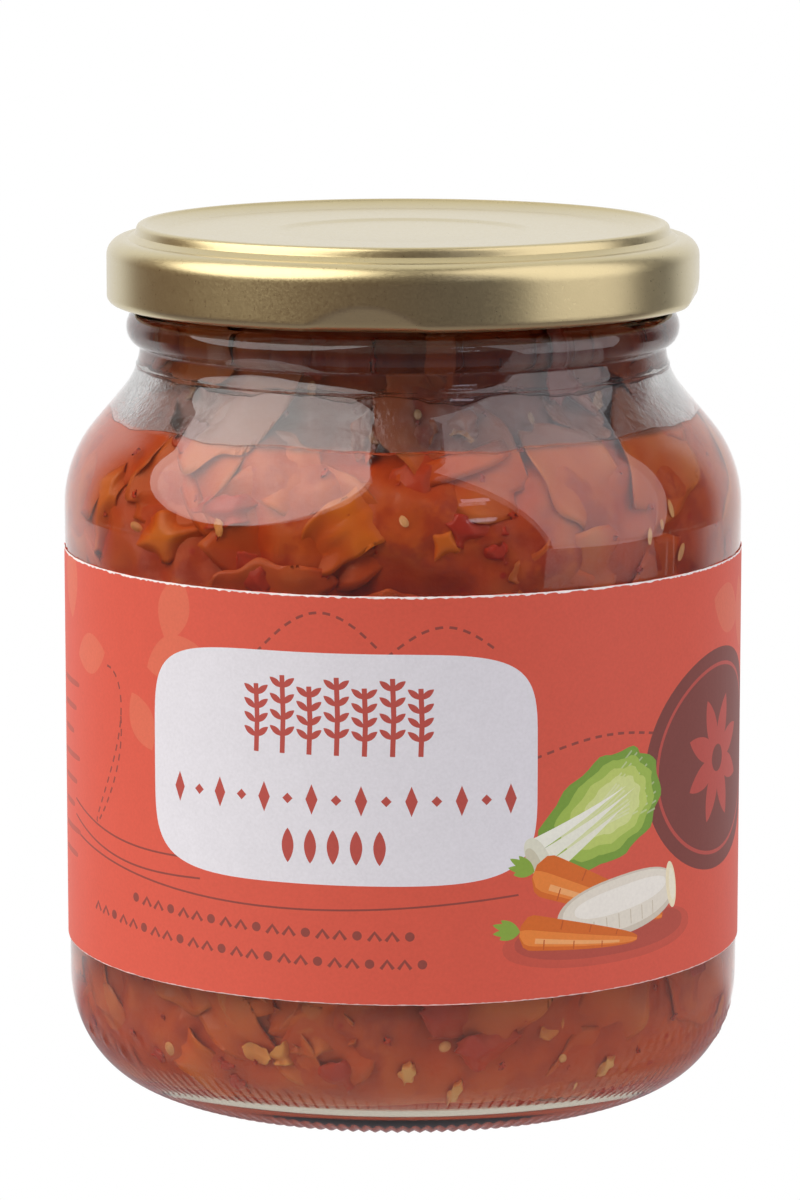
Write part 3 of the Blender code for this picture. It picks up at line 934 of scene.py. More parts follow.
def glass_material(jar, kimchi):
    """Clear glass. Its inside is misted with droplets where it faces the air pocket."""
    made, nodes, shader = new_material("jar_glass")
    place = nodes.add("ShaderNodeTexCoord").outputs["Object"]
    x, y, z = nodes.separate(place)
    radius = nodes.vector("LENGTH", nodes.combine(x, y, 0.0))
    inside = nodes.ramp(nodes.math("SUBTRACT", radius, wall_radius(nodes, jar, z)), 1.2 * MM, 0.6 * MM)
    band = nodes.math(
        "MULTIPLY",
        nodes.ramp(z, kimchi.brine_level, kimchi.brine_level + 0.6 * MM),
        nodes.ramp(z, kimchi.pocket_top + 1.5 * MM, kimchi.pocket_top),
    )
    mist = nodes.math("MULTIPLY", inside, band)
    patches = nodes.ramp(nodes.noise(place, 120.0, 4.0, 0.6), 0.35, 0.65, 0.04, 0.22)
    nodes.feed(shader.inputs["Roughness"], nodes.math("MULTIPLY", mist, patches))
    shader.inputs["IOR"].default_value = 1.5
    shader.inputs["Transmission Weight"].default_value = 1.0
    drops = nodes.math("MULTIPLY", nodes.noise(place, 1100.0, 3.0, 0.6), mist)
    bump = nodes.add("ShaderNodeBump", {"Height": drops, "Strength": 0.35, "Distance": 0.2 * MM})
    nodes.feed(shader.inputs["Normal"], bump)
    output = lamps_pass(nodes, shader)
    volume = nodes.add("ShaderNodeVolumeAbsorption", {"Color": (*jar.tint, 1.0), "Density": jar.tint_strength})
    nodes.feed(output.inputs["Volume"], volume)
    return made


def brine_material(kimchi):
    made, nodes, shader = new_material("brine")
    shader.inputs["Roughness"].default_value = 0.0
    shader.inputs["IOR"].default_value = 1.34
    shader.inputs["Specular Tint"].default_value = (0.0, 0.0, 0.0, 1.0)
    shader.inputs["Transmission Weight"].default_value = 1.0
    output = lamps_pass(nodes, shader)
    given = {"Color": (*kimchi.brine, 1.0), "Density": kimchi.brine_strength}
    nodes.feed(output.inputs["Volume"], nodes.add("ShaderNodeVolumeAbsorption", given))
    return made


def lid_material(lid, grain):
    made, nodes, shader = new_material("gold_lacquer")
    group = nodes.add("ShaderNodeGroup", node_tree=grain)
    group.inputs["Scale"].default_value = 3200.0
    group.inputs["Amount"].default_value = 0.16
    tint = nodes.mix(1.0, lid.gold, group.outputs["Factor"], blend="MULTIPLY")
    nodes.feed(shader.inputs["Base Color"], tint)
    nodes.feed(shader.inputs["Roughness"], nodes.ramp(group.outputs["Height"], 0.2, 0.8, 0.27, 0.36))
    shader.inputs["Metallic"].default_value = 1.0
    shader.inputs["Coat Weight"].default_value = 0.5
    shader.inputs["Coat Roughness"].default_value = 0.25
    bump = nodes.add("ShaderNodeBump", {"Height": group.outputs["Height"], "Strength": 0.25, "Distance": 0.03 * MM})
    nodes.feed(shader.inputs["Normal"], bump)
    return made


def label_material(grain):
    made, nodes, shader = new_material("label_print")
    ink = nodes.add("ShaderNodeAttribute", attribute_name="Ink")
    group = nodes.add("ShaderNodeGroup", node_tree=grain)
    group.inputs["Scale"].default_value = 2600.0
    group.inputs["Amount"].default_value = 0.22
    tint = nodes.mix(1.0, ink.outputs["Color"], group.outputs["Factor"], blend="MULTIPLY")
    nodes.feed(shader.inputs["Base Color"], tint)
    shader.inputs["Roughness"].default_value = 0.55
    shader.inputs["IOR"].default_value = 1.4
    bump = nodes.add("ShaderNodeBump", {"Height": group.outputs["Height"], "Strength": 0.3, "Distance": 0.02 * MM})
    nodes.feed(shader.inputs["Normal"], bump)
    return made




def veiled_and_shaded(nodes, veil_and_shade, tint, clear_depth):
    """A colour as it looks through the brine, with painted shade above the brine and in the neck."""
    group = nodes.add("ShaderNodeGroup", node_tree=veil_and_shade)
    nodes.feed(group.inputs["Colour"], tint)
    group.inputs["Clear Depth"].default_value = clear_depth
    return group.outputs[0]


def core_material(veil_and_shade):
    """Soft stew of cabbage and chilli between the pieces that show."""
    made, nodes, shader = new_material("kimchi_core")
    place = nodes.add("ShaderNodeTexCoord").outputs["Object"]
    broad = nodes.ramp(nodes.noise(place, 85.0, 3.0, 0.6), 0.38, 0.62)
    shreds = nodes.ramp(nodes.noise(place, 230.0, 4.0, 0.6), 0.45, 0.62)
    tint = nodes.mix(broad, (0.50, 0.07, 0.006), (0.60, 0.14, 0.02))
    tint = nodes.mix(shreds, tint, (0.38, 0.04, 0.008))
    specks = nodes.add("ShaderNodeTexVoronoi", {"Vector": place, "Scale": 420.0})
    speck = nodes.ramp(specks.outputs["Distance"], 0.22, 0.1)
    chosen = nodes.math("GREATER_THAN", nodes.separate(specks.outputs["Color"])[0], 0.8)
    tint = nodes.mix(nodes.math("MULTIPLY", speck, chosen), tint, (0.42, 0.012, 0.004))
    nodes.feed(shader.inputs["Base Color"], veiled_and_shaded(nodes, veil_and_shade, tint, 1.6 * MM))
    shader.inputs["Roughness"].default_value = 0.3
    shader.inputs["IOR"].default_value = 1.4
    fine = nodes.noise(place, 900.0, 3.0)
    bump = nodes.add("ShaderNodeBump", {"Height": fine, "Strength": 0.3, "Distance": 0.3 * MM})
    nodes.feed(shader.inputs["Normal"], bump)
    return made


def piece_material(name, veil_and_shade, first, second, clear_depth, roughness=0.28):
    """Wet vegetable: two tones that change from piece to piece and along each one."""
    made, nodes, shader = new_material(name)
    place = nodes.add("ShaderNodeTexCoord").outputs["Object"]
    tone = nodes.add("ShaderNodeAttribute", attribute_name="Tone").outputs["Fac"]
    cloudy = nodes.noise(place, 160.0, 4.0, 0.6)
    factor = nodes.ramp(nodes.math("ADD", cloudy, nodes.math("MULTIPLY", tone, 0.5)), 0.45, 1.05)
    tint = nodes.mix(factor, first, second)
    nodes.feed(shader.inputs["Base Color"], veiled_and_shaded(nodes, veil_and_shade, tint, clear_depth))
    shader.inputs["Roughness"].default_value = roughness
    shader.inputs["IOR"].default_value = 1.4
    bump = nodes.add("ShaderNodeBump", {"Height": nodes.noise(place, 700.0, 4.0), "Strength": 0.35, "Distance": 0.25 * MM})
    nodes.feed(shader.inputs["Normal"], bump)
    return made


# Label print


def rounded(center, size, power, steps=72):
    """A superellipse: power 2 is an ellipse, and larger powers are squarer."""
    points = []
    for i in range(steps):
        t = TURN * i / steps
        c, s = math.cos(t), math.sin(t)
        x = math.copysign(abs(c) ** (2.0 / power), c) * size[0] / 2
        y = math.copysign(abs(s) ** (2.0 / power), s) * size[1] / 2
        points.append((center[0] + x, center[1] + y))
    return points


def placed(points, center, turn=0.0, scale=1.0):
    """Points turned by degrees, scaled and moved to center."""
    c, s = math.cos(math.radians(turn)), math.sin(math.radians(turn))
    return [
        (center[0] + scale * (x * c - y * s), center[1] + scale * (x * s + y * c)) for x, y in points
    ]


def petal(length_mm, width_mm, steps=14):
    """A pointed leaf along +X from the origin."""
    upper = []
    for i in range(steps + 1):
        t = i / steps
        upper.append((length_mm * t, 0.5 * width_mm * math.sin(math.pi * t) ** 0.8))
    lower = [(x, -y) for x, y in upper[1:-1]]
    return upper + lower[::-1]


def band(points, width_mm):
    """A line of that width along points."""
    left, right = [], []
    for i, (x, y) in enumerate(points):
        before = points[max(i - 1, 0)]
        after = points[min(i + 1, len(points) - 1)]
        dx, dy = after[0] - before[0], after[1] - before[1]
        far = math.hypot(dx, dy) or 1.0
        left.append((x - dy / far * width_mm / 2, y + dx / far * width_mm / 2))
        right.append((x + dy / far * width_mm / 2, y - dx / far * width_mm / 2))
    return left + right[::-1]


def dashes(points, width_mm, dash, gap):
    """Short bands along a path."""
    path = np.array(points)
    steps = np.hypot(*np.diff(path, axis=0).T)
    along = np.concatenate([[0.0], np.cumsum(steps)])
    made = []
    start = 0.0
    while start + dash < along[-1]:
        marks = [start, start + dash / 2, start + dash]
        line = [(float(np.interp(m, along, path[:, 0])), float(np.interp(m, along, path[:, 1]))) for m in marks]
        made.append(band(line, width_mm))
        start += dash + gap
    return made


def waved(start, end, bend, steps=40):
    """A path from start to end that bows up by bend."""
    return [
        (
            start[0] + (end[0] - start[0]) * i / steps,
            start[1] + (end[1] - start[1]) * i / steps + bend * math.sin(math.pi * i / steps),
        )
        for i in range(steps + 1)
    ]


def signed_area(outline):
    """Positive where the outline runs against the clock."""
    return 0.5 * sum(a[0] * b[1] - b[0] * a[1] for a, b in zip(outline, outline[1:] + outline[:1]))


class Print:
    """Flat shapes on the unrolled label in millimetres, later ones over earlier ones."""

    def __init__(self):
        self.shapes = []

    def add(self, outline, ink):
        self.shapes.append((outline, tuple(ink)))

    def add_all(self, outlines, ink):
        for outline in outlines:
            self.add(outline, ink)

    def mesh(self, name, verticals):
        """One flat mesh in metres, in the (x, y) plane, with the colours in its Ink attribute."""
        points, edges, faces = [], [], []
        for outline, ink in self.shapes:
            if signed_area(outline) < 0.0:
                outline = outline[::-1]
            faces.append(list(range(len(points), len(points) + len(outline))))
            points += [Vector(p) for p in outline]
        ground = self.shapes[0][0]
        low, high = min(y for x, y in ground), max(y for x, y in ground)
        for x in verticals:
            edges.append((len(points), len(points) + 1))
            points += [Vector((x, low)), Vector((x, high))]
        found = delaunay_2d_cdt(points, edges, faces, 1, 0.0005)
        mesh = bpy.data.meshes.new(name)
        kept = [(face, max(sources)) for face, sources in zip(found[2], found[5]) if 0 in sources]
        used = sorted({corner for face, top in kept for corner in face})
        place = {corner: i for i, corner in enumerate(used)}
        corners = [(found[0][corner].x * MM, found[0][corner].y * MM, 0.0) for corner in used]
        mesh.from_pydata(corners, [], [[place[corner] for corner in face] for face, top in kept])
        ink = mesh.color_attributes.new("Ink", "FLOAT_COLOR", "CORNER")
        shades = np.zeros((len(mesh.loops), 4), np.float32)
        for polygon, (face, top) in zip(mesh.polygons, kept):
            for loop in polygon.loop_indices:
                shades[loop] = (*self.shapes[top][1], 1.0)
        ink.data.foreach_set("color", shades.ravel())
        return mesh


def ragged(low, high, level, depth, chance, step=0.35):
    """A strip of bare paper along the label's edge, its inner side torn."""
    count = int((high - low) / step)
    inner = []
    for i in range(count + 1):
        inner.append((low + (high - low) * i / count, level + depth * chance.uniform(0.35, 1.0)))
    return [(low, level), *inner, (high, level)]


def mixed(first, second, factor):
    return tuple(a + (b - a) * factor for a, b in zip(first, second))


def sprig(height_mm, width_mm, stroke, pairs):
    """A stem with pairs of small leaves, standing on the origin."""
    shapes = [band([(0.0, 0.0), (0.15, height_mm / 2), (0.0, height_mm)], stroke)]
    for i in range(pairs):
        level = height_mm * (0.22 + 0.62 * i / max(1, pairs - 1))
        for side in (-1, 1):
            turn = 90.0 - side * 52.0
            shapes.append(placed(petal(0.62 * width_mm, 0.24 * width_mm), (0.0, level), turn))
    return shapes


def cabbage(art, center, turn, scale, chance):
    """A whole napa cabbage lying on its side."""
    greens = [(0.20, 0.36, 0.05), (0.36, 0.52, 0.09), (0.52, 0.64, 0.16), (0.66, 0.74, 0.30)]
    cream = (0.80, 0.82, 0.66)
    for layer, green in enumerate(greens):
        size = 1.0 - 0.17 * layer
        frill = []
        for i in range(64):
            t = TURN * i / 64
            wave = 1.0 + 0.035 * math.sin(11 * t + layer) + chance.uniform(-0.018, 0.018)
            blunt = 1.0 + 0.22 * math.cos(t)
            frill.append((9.4 * size * wave * math.cos(t) + 1.2 * layer * 0.4, 5.6 * size * wave * blunt * math.sin(t)))
        art.add(placed(frill, center, turn, scale), green)
        for i in range(9):
            t = -1.15 + 2.3 * i / 8
            reach = 8.4 * size
            line = [(-5.5, 0.8 * math.sin(t)), (0.0, 2.6 * size * math.sin(t)), (reach * math.cos(0.5 * t), 4.4 * size * math.sin(t))]
            tone = mixed(green, cream, 0.35)
            art.add(placed(band(line, 0.22), center, turn, scale), tone)
    ribs = [(-1.9, 3.6), (0.0, 4.6), (1.9, 3.6)]
    for offset, reach in ribs:
        rib = [(-9.2, offset * 0.9 - 0.9), (reach - 1.5, offset * 0.55), (reach + 1.0, offset * 0.5), (-9.2, offset * 0.9 + 0.9)]
        art.add(placed(rib, center, turn, scale), mixed(cream, (0.9, 0.92, 0.84), 0.5 + 0.25 * offset / 1.9))
    base = rounded((-9.0, 0.0), (2.6, 5.6), 2.2, 32)
    art.add(placed(base, center, turn, scale), (0.74, 0.75, 0.62))
    art.add(placed(rounded((-9.6, 0.2), (1.4, 3.4), 2.2, 24), center, turn, scale), (0.62, 0.60, 0.46))


def carrot(art, tip, turn, length_mm, width_mm):
    """A whole carrot, its tip at tip and its crown turned by degrees."""
    outline = []
    steps = 24
    for i in range(steps + 1):
        t = i / steps
        outline.append((length_mm * t, 0.5 * width_mm * (0.12 + 0.88 * t ** 0.6) * math.sqrt(max(0.0, 1 - max(0.0, t - 0.9) ** 2 * 90))))
    lower = [(x, -y) for x, y in outline]
    body = outline + lower[::-1]
    art.add(placed(body, tip, turn), (0.70, 0.155, 0.022))
    light = [(x, 0.75 * y) for x, y in outline] + [(x, -0.15 * y) for x, y in outline][::-1]
    art.add(placed(light, tip, turn), (0.84, 0.25, 0.045))
    shine = [(x, 0.6 * y) for x, y in outline[4:-3]] + [(x, 0.3 * y) for x, y in outline[4:-3]][::-1]
    art.add(placed(shine, tip, turn), (0.90, 0.42, 0.16))
    for i in range(6):
        t = 0.2 + 0.12 * i
        half = 0.5 * width_mm * (0.12 + 0.88 * t ** 0.6)
        side = 1 if i % 2 else -1
        mark = [(length_mm * t, side * half * 0.95), (length_mm * t + 0.1, side * half * 0.35)]
        art.add(placed(band(mark, 0.16), tip, turn), (0.55, 0.10, 0.02))
    crown = (
        tip[0] + length_mm * math.cos(math.radians(turn)),
        tip[1] + length_mm * math.sin(math.radians(turn)),
    )
    for spread, size in ((-24, 0.8), (-8, 1.0), (10, 0.95), (26, 0.75)):
        art.add(placed(petal(3.6 * size, 1.0), crown, turn + spread), (0.26, 0.42, 0.06))


def radish(art, center, turn, length_mm, width_mm):
    """A white radish with its leaf stubs."""
    body = rounded((0.0, 0.0), (length_mm, width_mm), 2.3, 48)
    art.add(placed(body, center, turn), (0.66, 0.60, 0.50))
    art.add(placed(rounded((0.2, 0.25), (0.94 * length_mm, 0.86 * width_mm), 2.3, 48), center, turn), (0.80, 0.76, 0.66))
    art.add(placed(rounded((0.4, 0.8), (0.78 * length_mm, 0.42 * width_mm), 2.3, 40), center, turn), (0.89, 0.87, 0.80))
    for i in range(7):
        x = (-0.34 + 0.1 * i) * length_mm
        ring = [(x, -0.36 * width_mm), (x + 0.12, -0.12 * width_mm)]
        art.add(placed(band(ring, 0.12), center, turn), (0.60, 0.53, 0.40))
    cut = rounded((0.46 * length_mm, 0.0), (0.26 * width_mm, 0.8 * width_mm), 2.0, 32)
    art.add(placed(cut, center, turn), (0.88, 0.80, 0.56))
    art.add(placed(rounded((0.47 * length_mm, 0.0), (0.15 * width_mm, 0.56 * width_mm), 2.0, 28), center, turn), (0.90, 0.85, 0.68))


def label_print(label, half_length, low, high):
    """Everything printed on the label: x runs round the jar from the front, y is the height."""
    chance = random.Random(5)
    art = Print()
    ground, pale, deep = tuple(label.ground), tuple(label.cloud), tuple(label.deep)
    paper, accent = tuple(label.paper), tuple(label.accent)
    edge = [(-half_length + 2 * half_length * i / 400, low + chance.uniform(-0.04, 0.04)) for i in range(401)]
    top = [(-half_length + 2 * half_length * i / 400, high + chance.uniform(-0.05, 0.05)) for i in range(401)]
    art.add(edge + top[::-1], ground)

    # Soft pale leaves
    for x, y, turn, size in ((-34.5, 57.0, 20, 1.0), (-31.0, 60.5, 75, 0.9), (-29.0, 57.5, -15, 0.85),
                             (-55.0, 60.0, 95, 1.1), (-52.0, 56.0, 10, 0.9), (57.0, 60.0, 160, 1.1),
                             (60.0, 55.5, 100, 1.0), (-37.5, 53.5, -60, 0.8)):
        art.add(placed(petal(9.5, 5.6), (x, y), turn, size), pale)

    # Thin lines and dashed arcs
    thin = mixed(deep, ground, 0.15)
    for start, end, bend in (((-54.0, 37.5), (-26.0, 34.6), -1.2), ((-54.0, 33.5), (14.0, 31.4), -2.6),
                             ((-54.0, 35.5), (-26.0, 32.2), -1.4)):
        art.add(band(waved(start, end, bend, 60), 0.24), thin)
    for start, end, bend in (((-18.0, 60.5), (-2.0, 60.5), 5.2), ((-2.0, 60.5), (12.0, 60.5), 3.6),
                             ((16.0, 47.8), (34.0, 49.0), 1.3)):
        art.add_all(dashes(waved(start, end, bend), 0.32, 0.95, 0.75), thin)
    loop = [(-43.0 + 3.2 * math.sin(0.055 * i), 46.0 + 10.0 * math.cos(0.035 * i)) for i in range(150)]
    art.add_all(dashes(loop, 0.28, 0.9, 0.7), thin)

    # White panel with rows of ornament
    art.add(rounded((-8.4, 46.9), (49.6, 28.0), 5.0, 96), paper)
    for i in range(7):
        x = -18.0 + 3.35 * i
        art.add_all([placed(s, (x, 48.6)) for s in sprig(9.4 if i % 2 else 8.2, 3.2, 0.62, 4)], accent)
    for i in range(15):
        x = -29.0 + 3.0 * i
        height = 3.7 if i % 2 == 0 else 1.3
        width = 1.5 if i % 2 == 0 else 1.3
        art.add(placed([(-width / 2, 0), (0, -height / 2), (width / 2, 0), (0, height / 2)], (x, 43.2)), accent)
    for i in range(5):
        x = -14.0 + 2.8 * i
        art.add(placed(petal(4.2, 1.5), (x, 35.4), 90.0), accent)

    # Two rows of small ornament under the panel
    for row, (first, last, level) in enumerate(((-37.0, 2.6, 26.8), (-46.0, 2.6, 23.4))):
        count = int((last - first) / 2.1)
        for i in range(count + 1):
            x = first + 2.1 * i
            y = level + 0.0009 * (x - 2.6) ** 2
            if (i + row) % 3 == 0:
                art.add(rounded((x, y), (1.15, 1.15), 2.0, 18), thin)
            else:
                art.add(band([(x - 0.75, y - 0.55), (x, y + 0.45), (x + 0.75, y - 0.55)], 0.42), thin)

    # Faint bars at the far left, then at the back a white panel of leaves, pale dots and pale leaves
    faint = mixed(deep, ground, 0.55)
    for i in range(8):
        art.add(rounded((-56.5 - 0.6 * (i % 3), 52.0 - 3.1 * i), (9.0 - 1.6 * (i % 3), 0.75), 4.0, 20), faint)
    art.add(rounded((-95.0, 43.0), (42.0, 38.0), 5.0, 72), paper)
    for row in range(4):
        for i in range(8):
            lean = 64.0 if (i + row) % 2 else 116.0
            art.add(placed(petal(5.4, 2.1), (-110.1 + 4.3 * i, 51.6 - 7.6 * row), lean), accent)
    for i in range(13):
        art.add(rounded((83.0 + 3.2 * i, 36.0 + 9.0 * (i % 2)), (2.4, 2.4), 2.0, 24), pale)
    for i in range(8):
        art.add(placed(petal(6.4, 3.4), (85.6 + 4.8 * i, 53.0), 70.0 if i % 2 else 110.0), pale)

    # Round badge with a plain ring and a flower
    art.add(rounded((48.6, 43.6), (33.0, 27.5), 2.0, 72), deep)
    art.add(rounded((48.6, 43.6), (29.0, 23.8), 2.0, 72), accent)
    art.add(rounded((48.6, 43.6), (28.0, 22.9), 2.0, 72), deep)
    for i in range(8):
        art.add(placed(petal(8.2, 3.0), (48.6, 43.6), 45.0 * i + 22.5), accent)
    art.add(rounded((48.6, 43.6), (3.4, 3.4), 2.0, 28), deep)

    # Vegetables
    shadow = mixed(ground, deep, 0.45)
    art.add(rounded((26.5, 24.8), (29.0, 6.2), 2.4, 48), mixed(ground, deep, 0.22))
    art.add(rounded((26.5, 25.2), (26.0, 5.0), 2.4, 48), shadow)
    cabbage(art, (25.2, 40.0), 28.0, 1.08, chance)
    carrot(art, (35.5, 26.2), 158.0, 21.0, 5.6)
    radish(art, (28.5, 28.6), 8.0, 19.0, 7.4)
    carrot(art, (31.0, 24.2), 171.0, 17.0, 4.6)

    # Bare torn paper along both edges
    white = (0.86, 0.80, 0.79)
    art.add(ragged(-half_length, half_length, high, -0.34, chance), white)
    art.add(ragged(-half_length, half_length, low, 0.16, chance), mixed(white, ground, 0.3))
    return art


def wrapped_tree():
    """A flat sheet wrapped round Z: its x runs along the round and its y is the height."""
    inputs = {"Sheet": "geometry", "Radius": "value", "Material": "material"}
    nodes, given, result = node_group("Wrapped Sheet", "GeometryNodeTree", inputs, {"Sheet": "geometry"})
    x, y, z = nodes.separate(nodes.add("GeometryNodeInputPosition"))
    turn = nodes.math("DIVIDE", x, given["Radius"])
    place = nodes.combine(
        nodes.math("MULTIPLY", given["Radius"], nodes.math("SINE", turn)),
        nodes.math("MULTIPLY", nodes.math("MULTIPLY", given["Radius"], nodes.math("COSINE", turn)), -1.0),
        y,
    )
    bent = nodes.add("GeometryNodeSetPosition", {"Geometry": given["Sheet"], "Position": place})
    ended(nodes, bent, given["Material"], result["Sheet"])
    return nodes.tree


# Shapes of the pieces of kimchi, lying flat: x along, y across, z towards the glass


def shell(name, columns, rows, place):
    """A closed sheet of columns by rows, each side's points given by place(s, t, side)."""
    points, faces = [], []
    for side in (1, -1):
        for i in range(columns + 1):
            for j in range(rows + 1):
                points.append(place(2.0 * i / columns - 1.0, 2.0 * j / rows - 1.0, side))
    half = len(points) // 2
    wide = rows + 1

    def at(i, j, side):
        return (0 if side > 0 else half) + i * wide + j

    for i in range(columns):
        for j in range(rows):
            faces.append((at(i, j, 1), at(i + 1, j, 1), at(i + 1, j + 1, 1), at(i, j + 1, 1)))
            faces.append((at(i, j, -1), at(i, j + 1, -1), at(i + 1, j + 1, -1), at(i + 1, j, -1)))
    for i in range(columns):
        faces.append((at(i, 0, 1), at(i, 0, -1), at(i + 1, 0, -1), at(i + 1, 0, 1)))
        faces.append((at(i, rows, 1), at(i + 1, rows, 1), at(i + 1, rows, -1), at(i, rows, -1)))
    for j in range(rows):
        faces.append((at(0, j, 1), at(0, j + 1, 1), at(0, j + 1, -1), at(0, j, -1)))
        faces.append((at(columns, j, 1), at(columns, j, -1), at(columns, j + 1, -1), at(columns, j + 1, 1)))
    mesh = bpy.data.meshes.new(name)
    mesh.from_pydata(points, [], faces)
    mesh.update()
    return bpy.data.objects.new(name, mesh)


def leaf_shape(chance):
    """A wavy piece of cabbage leaf with a thick rib, 20 mm by 12 mm."""
    wave = [chance.uniform(0.0, TURN) for i in range(4)]
    bow = chance.uniform(-0.12, 0.12)
    edge = [chance.uniform(0.0, TURN) for i in range(4)]

    def place(s, t, side):
        frill = 0.09 * math.sin(5.0 * s + edge[0]) + 0.06 * math.sin(9.0 * s + edge[1])
        ends = 0.07 * math.sin(4.0 * t + edge[2])
        half = 6.0 * MM * (1.0 - 0.62 * abs(s) ** 2.4) * (1.0 + frill * abs(t))
        x = 10.0 * MM * s * (1.0 + ends)
        y = half * t + 20.0 * MM * bow * (1.0 - s * s)
        ripple = 0.7 * math.sin(3.2 * s + wave[0]) + 0.5 * abs(t) * math.sin(7.0 * s + wave[1])
        ripple += 0.5 * math.sin(2.6 * t + wave[2])
        thick = (0.22 + 0.65 * math.exp(-((t / 0.22) ** 2))) * MM
        return (x, y, ripple * MM + 0.5 * side * thick)

    return shell("leaf", 22, 12, place)


def strip_shape(chance):
    """A bent matchstick with blunt ends."""
    long = chance.uniform(12.0, 22.0) * MM
    wide = chance.uniform(2.0, 3.0) * MM
    bow = chance.uniform(-0.10, 0.10)
    wave = chance.uniform(0.0, TURN)

    def place(s, t, side):
        blunt = (1.0 - 0.25 * abs(s) ** 6) * (1.0 - 0.12 * (side < 0))
        x = 0.5 * long * s
        y = 0.5 * wide * t * blunt + bow * long * (1.0 - s * s)
        z = 0.6 * MM * math.sin(2.2 * s + wave) + side * (0.75 - 0.12 * t * t) * MM * blunt
        return (x, y, z)

    return shell("strip", 10, 3, place)


def flake_shape(chance):
    """A thin torn flake of chilli."""
    long = chance.uniform(0.9, 2.0) * MM
    wide = chance.uniform(0.6, 1.3) * MM
    turn = chance.uniform(0.0, TURN)

    def place(s, t, side):
        round_off = math.sqrt(max(0.0, 1.0 - 0.45 * s * s * t * t * 2.0))
        x = 0.5 * long * s * round_off * (1.0 + 0.2 * math.sin(3.0 * t + turn))
        y = 0.5 * wide * t * round_off * (1.0 + 0.2 * math.cos(4.0 * s + turn))
        return (x, y, 0.12 * MM * side + 0.15 * MM * s * t)

    return shell("flake", 3, 3, place)


def seed_shape(chance):
    """A flat oval seed."""
    long = chance.uniform(1.5, 2.1) * MM
    wide = long * chance.uniform(0.55, 0.8)

    def place(s, t, side):
        far = max(abs(s), abs(t))
        span = math.hypot(s, t) or 1.0
        x, y = s * far / span, t * far / span
        dome = math.sqrt(max(0.0, 1.0 - min(1.0, far) ** 2))
        return (0.5 * long * x, 0.5 * wide * y, side * 0.28 * MM * dome)

    return shell("seed", 6, 4, place)


def bead_shape(chance):
    """A tiny bubble or droplet."""
    size = chance.uniform(0.35, 0.75) * MM

    def place(s, t, side):
        far = max(abs(s), abs(t))
        span = math.hypot(s, t) or 1.0
        x, y = s * far / span, t * far / span
        dome = math.sqrt(max(0.0, 1.0 - min(1.0, far) ** 2))
        return (0.5 * size * x, 0.5 * size * y, side * 0.35 * size * dome)

    return shell("bead", 4, 4, place)


def shape_collection(name, maker, count, seed):
    """Hidden shapes to scatter."""
    chance = random.Random(seed)
    home = bpy.data.collections.new(name)
    for i in range(count):
        home.objects.link(maker(chance))
    return home


def places_mesh(name, places):
    """Points on the unrolled wall: degrees from the front, height, depth, turn, length and width."""
    mesh = bpy.data.meshes.new(name)
    mesh.from_pydata([(math.radians(p[0]) * UNROLLED, p[1] * MM, -p[2] * MM) for p in places], [], [])
    spin = mesh.attributes.new("Spin", "FLOAT", "POINT")
    size = mesh.attributes.new("Size", "FLOAT_VECTOR", "POINT")
    for i, (degrees, height, depth, turn, long, wide) in enumerate(places):
        spin.data[i].value = math.radians(turn)
        size.data[i].vector = (long, wide, 1.0)
    return mesh


def scattered(name, tree, maker, kinds, seed, places, settings):
    """One piece made of shapes laid along the wall; the shapes themselves are removed."""
    home = shape_collection(name, maker, kinds, seed)
    given = {"Shapes": home, "Seed": seed, **settings}
    obj = grown(name, tree, given, places_mesh(name, places))
    for shape in list(home.objects):
        bpy.data.objects.remove(shape, do_unlink=True)
    bpy.data.collections.remove(home)
    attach(obj, BODY)
    return obj


# Operators


def settings_of(context):
    scene = context.scene
    return scene.kj_jar, scene.kj_lid, scene.kj_label, scene.kj_kimchi, scene.kj_studio


def shared(name, maker, *values):
    """A node group that several pieces use, made once."""
    return bpy.data.node_groups.get(name) or maker(*values)


class PieceOperator:
    bl_options = {"REGISTER", "UNDO"}


class KIMCHI_JAR_OT_glass(PieceOperator, bpy.types.Operator):
    """Make the glass jar"""

    bl_idname = "kimchi_jar.glass"
    bl_label = "Glass Jar"

    def execute(self, context):
        jar = context.scene.kj_jar
        given = {
            "Segments": jar.segments,
            "Knurls": jar.knurls,
            "Knurl Depth": jar.knurl_depth,
            "Dot Rise": jar.dot_rise,
            "Dots Start": jar.dot_start,
            "Dots End": jar.dot_end,
            "Material": glass_material(jar, context.scene.kj_kimchi),
        }
        mesh = outline_mesh("jar", glass_outline(jar))
        obj = grown("jar", glass_tree(jar), given, mesh)
        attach(obj, BODY)
        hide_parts("glass_jar")
        return {"FINISHED"}


class KIMCHI_JAR_OT_lid(PieceOperator, bpy.types.Operator):
    """Make the gold twist-off lid"""

    bl_idname = "kimchi_jar.lid"
    bl_label = "Lid"

    def execute(self, context):
        lid = context.scene.kj_lid
        given = {
            "Segments": lid.segments,
            "Lugs": lid.lugs,
            "Lug Turn": lid.lug_turn,
            "Lug Height": lid.lug_height,
            "Lug Press": lid.lug_press,
            "Material": lid_material(lid, shared("Grain", grain_group)),
        }
        obj = grown("twist_off_lid", lid_tree(lid), given, outline_mesh("twist_off_lid", lid_outline(lid)))
        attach(obj, BODY)
        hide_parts("lid")
        return {"FINISHED"}


